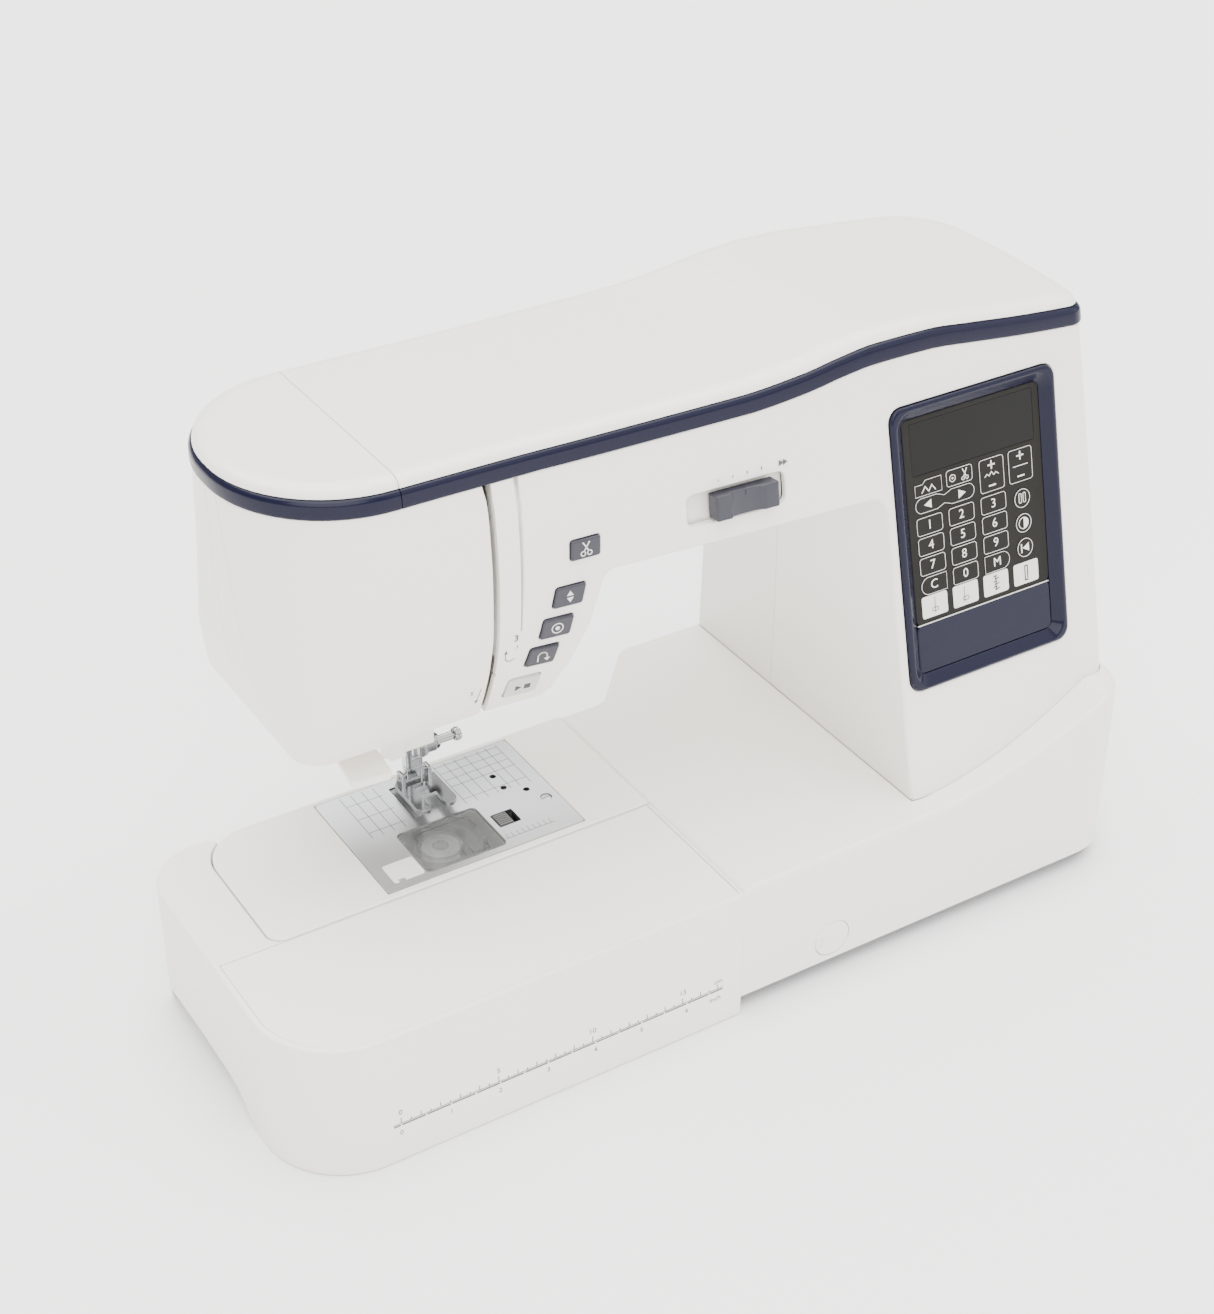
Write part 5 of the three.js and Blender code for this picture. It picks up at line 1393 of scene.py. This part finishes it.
combine(clamp, "DIFFERENCE", rod("needle_bore", "z", NEEDLE_AT, 1.3, 100, 110, 24),
        rod("screw_bore", "x", CLAMP_SCREW, 1.8, NEEDLE["x"] + 2, NEEDLE["x"] + 12, 24))
hand_over(clamp, chrome_parts, "needle_bar_body", "needle_clamp", slot="chrome_parts")
thumb_screw = turned("thumb_screw", CLAMP_SCREW, [
    (1.2, 142.3), (1.6, 142.7), (1.6, 148.3), (2.2, 148.6), (2.2, 157.2), (1.5, 157.6), (1.5, 158.2),
    (3.0, 158.4), (3.4, 158.8), (3.4, 161.4), (3.0, 161.9)], axis="x")
hand_over(thumb_screw, chrome_parts, "clamp_screw_body", "needle_clamp_screw", slot="chrome_parts")
screw_grip = grown_from(bar_ring, "screw_knurl", Count=22, Radius=3.3 * MM,
                        Bar=(0.35 * MM, 0.35 * MM, 2.2 * MM),
                        Centre=tuple(in_place(160.1, *CLAMP_SCREW)), Finish=chrome_parts)
hand_over(screw_grip, chrome_parts, "clamp_screw_body")
point = turned("needle_shaft", NEEDLE_AT, [
    (0.05, 81), (0.35, 84), (0.5, 86), (0.6, 90), (0.6, 95.6), (1.0, 97), (1.0, 108.6), (0.7, 109)], sides=24)
combine(point, "DIFFERENCE", rod("needle_eye", "y", (NEEDLE["x"], 86.6), 0.22, 144, 148, 12))
hand_over(point, chrome_parts, "needle_bar_body", "needle", slot="chrome_parts")

take_up = prism("take_up_arm", "x", [
    (118, 226), (118, 236), (116.5, 238), (92, 262), (83, 274), (81, 277), (79.2, 278), (77.4, 277),
    (76.5, 274.6), (84, 262), (104, 234), (105, 227)], 142.4, 144.2)
combine(take_up, "DIFFERENCE", rod("take_up_bore", "x", (112, 232), 2.1, 140, 147, 24),
        rod("take_up_eye", "x", (80.2, 274.4), 1.1, 140, 147, 16))
hand_over(soften(take_up, 0.3), chrome_parts, "take_up", "take_up_lever", slot="chrome_parts")

presser = turned("presser_rod", PRESSER_AT, [(2.6, 92), (3, 92.5), (3, 253.5), (2.6, 254)])
hand_over(presser, chrome_parts, "presser_bar_body", "presser_bar", slot="chrome_parts")
shank = soften(block("shank", 135.5, 144.5, 152.5, 158.6, 84.6, 106), 0.9)
ear = soften(block("holder_ear", 135, 145, 152, 156, 83.6, 90), 0.5)
boss = soften(block("holder_boss", 137, 149, 154, 158.4, 94, 102), 0.8)
combine(shank, "UNION", ear, boss, rod("cross_pin", "x", FOOT_PIN, 0.9, 131, 149, 24))
combine(shank, "DIFFERENCE", rod("foot_screw_bore", "x", FOOT_SCREW, 1.9, 144, 152, 24))
hand_over(shank, chrome_parts, "presser_bar_body", "foot_holder", slot="chrome_parts")
foot_screw = turned("foot_screw_head", FOOT_SCREW, [
    (1.4, 145), (1.7, 145.4), (1.7, 149.6), (3.7, 150), (4.2, 150.5), (4.2, 154.4), (3.7, 155)], axis="x")
combine(foot_screw, "DIFFERENCE", block("driver_slot", 154, 156, 152, 162, 97.5, 98.5))
hand_over(foot_screw, black_plastic, "foot_screw_body", "foot_screw", slot="black_plastic")
sole = prism("foot_sole", "z", [
    (129, 131), (130.4, 128.8), (132.5, 127.6), (134.5, 127.5), (136, 129), (136, 139), (144, 139),
    (144, 129), (145.5, 127.5), (147.5, 127.6), (149.6, 128.8), (151, 131), (151, 154), (148, 158),
    (132, 158), (129, 154)], 79.5, 81.8)
combine(sole, "DIFFERENCE", prism("foot_slot", "z", rounded_box(136.2, 143.8, 143, 149, 1.6), 78, 83))
soften(sole, 0.5)
cheeks = [soften(block(f"cheek_{x}", x, x + 2.3, 151, 157, 81, 88), 0.7) for x in (131.5, 146.2)]
combine(sole, "UNION", *cheeks)
combine(sole, "DIFFERENCE", rod("pin_hole", "x", FOOT_PIN, 1.2, 128, 152, 24))
hand_over(sole, chrome_parts, "foot", "presser_foot", slot="chrome_parts")

# ---- Presser lifter, threader and thread guard --------------------------------------------------
# Three ivory mouldings at the needle: the lifter's lever behind it, the automatic threader's
# lever under the head's left, and a fixed guard that leads the thread past the face cover.

lift = prism("lift_lever", "x", [
    (171, 172), (171, 148), (172.6, 145.4), (176, 144), (202, 146), (204.6, 147.6), (204, 150), (178, 151),
    (178, 172)], 151, 157)
combine(soften(lift, 1.1, 4), "DIFFERENCE", rod("lifter_bore", "x", (175, 168), 2.1, 145, 160, 24))
hand_over(lift, ivory_plastic, "lifter", "presser_lifter", slot="ivory_cover")
paddle_outline = rounded_quad([(76, 86), (96, 84), (99, 117), (80, 119)], 4)
paddle = soften(prism("threader_paddle", "z", paddle_outline, 142.5, 146.3), 1.0, 4)
combine(paddle, "UNION", soften(block("threader_stem", 82, 88, 112, 118, 146, 196), 0.8))
hand_over(paddle, ivory_plastic, "threader", "threader_lever", slot="ivory_cover")
guard = soften(block("guard_blade", 106.5, 134, 118, 120.5, 128, 159.6), 0.6)
guard_outline = [(104.5, 150), (118, 150), (118, 127), (110, 127), (106.5, 132)]
guard_hook = soften(prism("guard_hook", "y", guard_outline, 116, 118.6), 0.6)
combine(guard, "UNION", guard_hook, soften(block("guard_root", 106.5, 112, 120, 129.5, 154, 159.6), 0.5))
hand_over(guard, ivory_plastic, "machine_body", "thread_guard", slot="ivory_cover")

# ---- Extension table, storage lid and printed ruler -----------------------------------------------
# A hollow ivory moulding slides on round the free arm. It stores the feet under a flush lid; an
# arched hand grip is cut in its left wall, and a ruler in both units is printed in front.

TABLE = {"front": 0.1, "right": 233.2, "back": 171, "corner": 42, "arm_gap": 0.6, "lid_edge": 3.2}
STORAGE = {"left": 14, "right": 224, "front": 12, "back": 76, "floor": 8}
arm_side, arm_end = ARM["front"] - TABLE["arm_gap"], ARM["left"] - TABLE["arm_gap"]
table_outline = arc(TABLE["corner"], TABLE["corner"], TABLE["corner"] - TABLE["front"], 180, 270, 30)
table_outline += [(TABLE["right"], TABLE["front"]), (TABLE["right"], arm_side), (arm_end + 8, arm_side)]
table_outline += arc(arm_end + 8, arm_side + 8, 8, 270, 180, 8)[1:]
table_outline += arc(arm_end + 24, TABLE["back"] - 24 + TABLE["arm_gap"], 24, 180, 125, 8)
table_outline += [(36, TABLE["back"])] + arc(28, TABLE["back"] - 28, 28, 90, 180, 18)


def lid_outline(grow):
    edge = TABLE["lid_edge"]
    return arc(TABLE["corner"], TABLE["corner"], TABLE["corner"] - edge + grow, 180, 270, 30) + [
        (231 + grow, edge - grow), (231 + grow, arm_side - 0.9 + grow), (edge - grow, arm_side - 0.9 + grow)]


table = soften(prism("table_moulding", "z", table_outline, 0.4, BED_TOP), 1.0, 4)
grip_arch = [(52, -1), (58, 6), (64, 10.5), (70, 13), (80, 15), (108, 16.2), (135, 16), (146, 15),
             (152, 12), (155.5, 7), (158, -1)]
storage_outline = rounded_box(STORAGE["left"], STORAGE["right"], STORAGE["front"], STORAGE["back"], 10)
combine(table, "DIFFERENCE",
        prism("storage_well", "z", storage_outline, STORAGE["floor"], 90),
        prism("lid_recess", "z", lid_outline(0.3), BED_TOP - 3.3, BED_TOP + 5),
        prism("wing_hollow", "z", rounded_box(4, 26, 88, 160, 6), -2, BED_TOP - 3),
        prism("hand_grip", "x", grip_arch, -4, 32))
hand_over(table, ivory_plastic, "table", "extension_table", slot="ivory_cover")
flap = soften(prism("storage_flap", "z", lid_outline(0), BED_TOP - 3, BED_TOP), 0.5, 3)
hand_over(flap, ivory_plastic, "storage_lid", "table_lid", slot="ivory_cover")

RULER = {"zero": 49, "z": 22.2, "start": 45, "end": 222, "inch": 25.4}
INK = (0.02, 0.2)


def rule(x0, x1, z0, z1):
    """A straight printed mark on the table's front."""
    return prism("rule", "y", [(x0, z0), (x1, z0), (x1, z1), (x0, z1)], *INK)


# Centimetre ticks stand on a thin line; the thick line below it is cut at every half inch.
thin_line, thick_line = RULER["z"] + 0.8, RULER["z"] - 0.5
cuts = [RULER["start"]] + [RULER["zero"] + RULER["inch"] / 2 * half for half in range(14)] + [RULER["end"]]
ruler = [rule(RULER["start"], RULER["end"], thin_line, thin_line + 0.35)]
ruler += [rule(x0 + 0.35, x1 - 0.35, thick_line, thick_line + 0.85) for x0, x1 in zip(cuts, cuts[1:])]
for half_cm in range(35):
    x = RULER["zero"] + 5 * half_cm
    height = 3.6 if half_cm % 10 == 0 else 2.8 if half_cm % 2 == 0 else 1.6
    ruler.append(rule(x - 0.22, x + 0.22, thin_line, thin_line + height))
for number in (0, 5, 10, 15):
    ruler.append(label(str(number), RULER["zero"] + 10 * number, 29.8, 4.2, *INK))
for number in range(7):
    ruler.append(label(str(number), RULER["zero"] + RULER["inch"] * number, 17.6, 3.8, *INK))
ruler += [label("cm", 219.2, 27.6, 4.0, *INK), label("inch", 217.6, 17.4, 4.0, *INK)]
hand_over(joined("ruler_print", ruler), printed_grey, "table")

# ---- Handwheel and carrying handle -----------------------------------------------------------------
# The ivory wheel turns the main shaft by hand; its rim is ribbed. The handle is an ivory bow on
# two pins, folded flat against the rear cover.

SHAFT = (128, 246)
wheel = turned("wheel_rim", SHAFT, [
    (28, 471), (29.6, 471.3), (30.6, 472.2), (30.6, 489.4), (29.9, 491), (28.6, 491.8), (27, 492),
    (25.4, 491.8), (24.4, 490.8), (24, 489), (20, 489), (6, 489.6), (0, 489.7)], axis="x", sides=96)
hand_over(wheel, ivory_plastic, "handwheel_shaft", "handwheel", slot="ivory_cover")
wheel_place = in_place(480.8, *SHAFT)
ribs = grown_from(bar_ring, "wheel_ribs", Count=64, Radius=30.7 * MM, Bar=(1.3 * MM, 1.3 * MM, 16 * MM),
                  Centre=tuple(wheel_place), Finish=ivory_plastic)
hand_over(ribs, ivory_plastic, "handwheel_shaft")

grip_low, grip_high = HANDLE["z"] - HANDLE["drop"] - 9, HANDLE["z"] - HANDLE["drop"] + 3
bow_bar = soften(prism("handle_bar", "x", rounded_box(202.4, 214, grip_low, grip_high, 4.4),
                       HANDLE["left"] + 4.5, HANDLE["right"] - 4.5), 1.2, 4)
legs = []
for x in (HANDLE["left"] + 4.5, HANDLE["right"] - 12):
    leg = block(f"leg_{x}", x, x + 7.5, 202.4, 210, HANDLE["z"] - HANDLE["drop"], HANDLE["z"] + 4)
    legs.append(soften(leg, 1.6, 4))
hinge_pins = [rod(f"hinge_pin_{x}", "x", (HANDLE["y"], HANDLE["z"]), 3, x, x + 11, 32)
              for x in (HANDLE["left"] - 3, HANDLE["right"] - 8)]
combine(bow_bar, "UNION", *legs, *hinge_pins)
hand_over(bow_bar, ivory_plastic, "handle", "carrying_handle", slot="ivory_cover")

# ---- Top deck, spool pin, tension dial and winder ----------------------------------------------------
# What the lid covers: a moulded deck with the tension dial at the left, a lying spool pin with
# its flange, and the bobbin winder's chrome spindle at the right.

DECK_TOP = 269
DIAL = (172, 108)
WINDER = (430, 112)
SPOOL = (150, 276)
deck = soften(prism("deck_tray", "z", rounded_box(152, 452, 84, 190, 12), DECK_TOP - 3, DECK_TOP), 0.7)
bracket = soften(block("spool_bracket", 317, 322, 143, 157, DECK_TOP - 1, DECK_TOP + 14), 0.8)
combine(deck, "UNION", bracket)
combine(deck, "DIFFERENCE", rod("dial_hole", "z", DIAL, 5, 250, 290),
        rod("winder_hole", "z", WINDER, 4, 250, 290))
hand_over(deck, ivory_plastic, "machine_body", "top_deck", slot="ivory_cover")
dial = turned("tension_wheel", DIAL, [
    (4, DECK_TOP - 8), (4, DECK_TOP + 0.3), (12.4, DECK_TOP + 0.3), (13, DECK_TOP + 0.9), (13, DECK_TOP + 7),
    (12, DECK_TOP + 8), (0, DECK_TOP + 8)])
hand_over(dial, navy_band, "tension_dial", "thread_tension_dial", slot="navy_trim")
dial_pointer = soften(block("dial_pointer", 171.3, 172.7, 96.5, 106, DECK_TOP + 7.5, DECK_TOP + 8.8), 0.4)
hand_over(dial_pointer, printed_ivory, "tension_dial")
spindle = turned("winder_spindle", WINDER, [
    (3, DECK_TOP - 4), (3, DECK_TOP + 0.3), (8.6, DECK_TOP + 0.3), (9, DECK_TOP + 0.7), (9, DECK_TOP + 2.4),
    (8.4, DECK_TOP + 3), (3, DECK_TOP + 3), (3, DECK_TOP + 12.8), (1.8, DECK_TOP + 14)])
hand_over(spindle, chrome_parts, "winder", "bobbin_winder_spindle", slot="chrome_parts")
spool = turned("spool_rod", SPOOL, [
    (5.6, 322.3), (6, 322.7), (6, 325.6), (5.6, 326), (3, 326), (3, 404.6), (2, 406)], axis="x")
hand_over(spool, ivory_plastic, "machine_body", "spool_pin", slot="ivory_cover")

# ---- Casting, shafts, motor and belt --------------------------------------------------------------------
# Inside the covers an aluminium casting carries steel shafts; the motor turns the upper shaft
# through a rubber belt. They keep the shapes of the fixed frame and take finishes here.

casting = Finish("cast_aluminium", Metallic=0.9)
sand = casting.noise(420, 5, roughness=0.7)
shade_of_cast = casting.noise(14, 3)
cast_frame = casting.set(
    Base_Color=casting.blend(shade_of_cast, rgb(0.50, 0.51, 0.52), rgb(0.36, 0.37, 0.38)),
    Roughness=sand * 0.25 + 0.45, Normal=casting.bump(sand, 0.0001))
ground = Finish("ground_steel", Metallic=1.0)
turning = ground.noise(800, 3, stretch=(1, 0.05, 0.05))
oil = ground.noise(25, 3)
shaft_steel = ground.set(
    Base_Color=ground.blend(oil, rgb(0.62, 0.63, 0.65), rgb(0.48, 0.49, 0.51)),
    Roughness=turning * 0.15 + 0.20, Normal=ground.bump(turning, 0.00001))
enamel = Finish("motor_enamel", Coat_Weight=0.3)
orange_peel = enamel.noise(300, 3)
motor_enamel = enamel.set(
    Base_Color=enamel.blend(orange_peel, rgb(0.05, 0.052, 0.056), rgb(0.075, 0.077, 0.082)),
    Roughness=orange_peel * 0.15 + 0.30, Normal=enamel.bump(orange_peel, 0.00003))
belt_cord = Finish("belt_rubber")
cords = belt_cord.node("ShaderNodeTexWave", {"wave_type": "BANDS", "bands_direction": "Z"},
                       {"Vector": belt_cord.place, "Scale": 160.0, "Distortion": 0.2})
belt_rubber = belt_cord.set(
    Base_Color=belt_cord.blend(cords, rgb(0.030, 0.030, 0.031), rgb(0.055, 0.054, 0.053)),
    Roughness=cords * 0.1 + 0.70, Normal=belt_cord.bump(cords, 0.0002))
INNER_FINISHES = {"main_frame": cast_frame, "main_shaft": shaft_steel, "lower_shaft": shaft_steel,
                  "motor_pulley": shaft_steel, "motor": motor_enamel, "drive_belt": belt_rubber}
for node, material in INNER_FINISHES.items():
    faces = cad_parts[node].data
    faces.materials.clear()
    faces.materials.append(material)
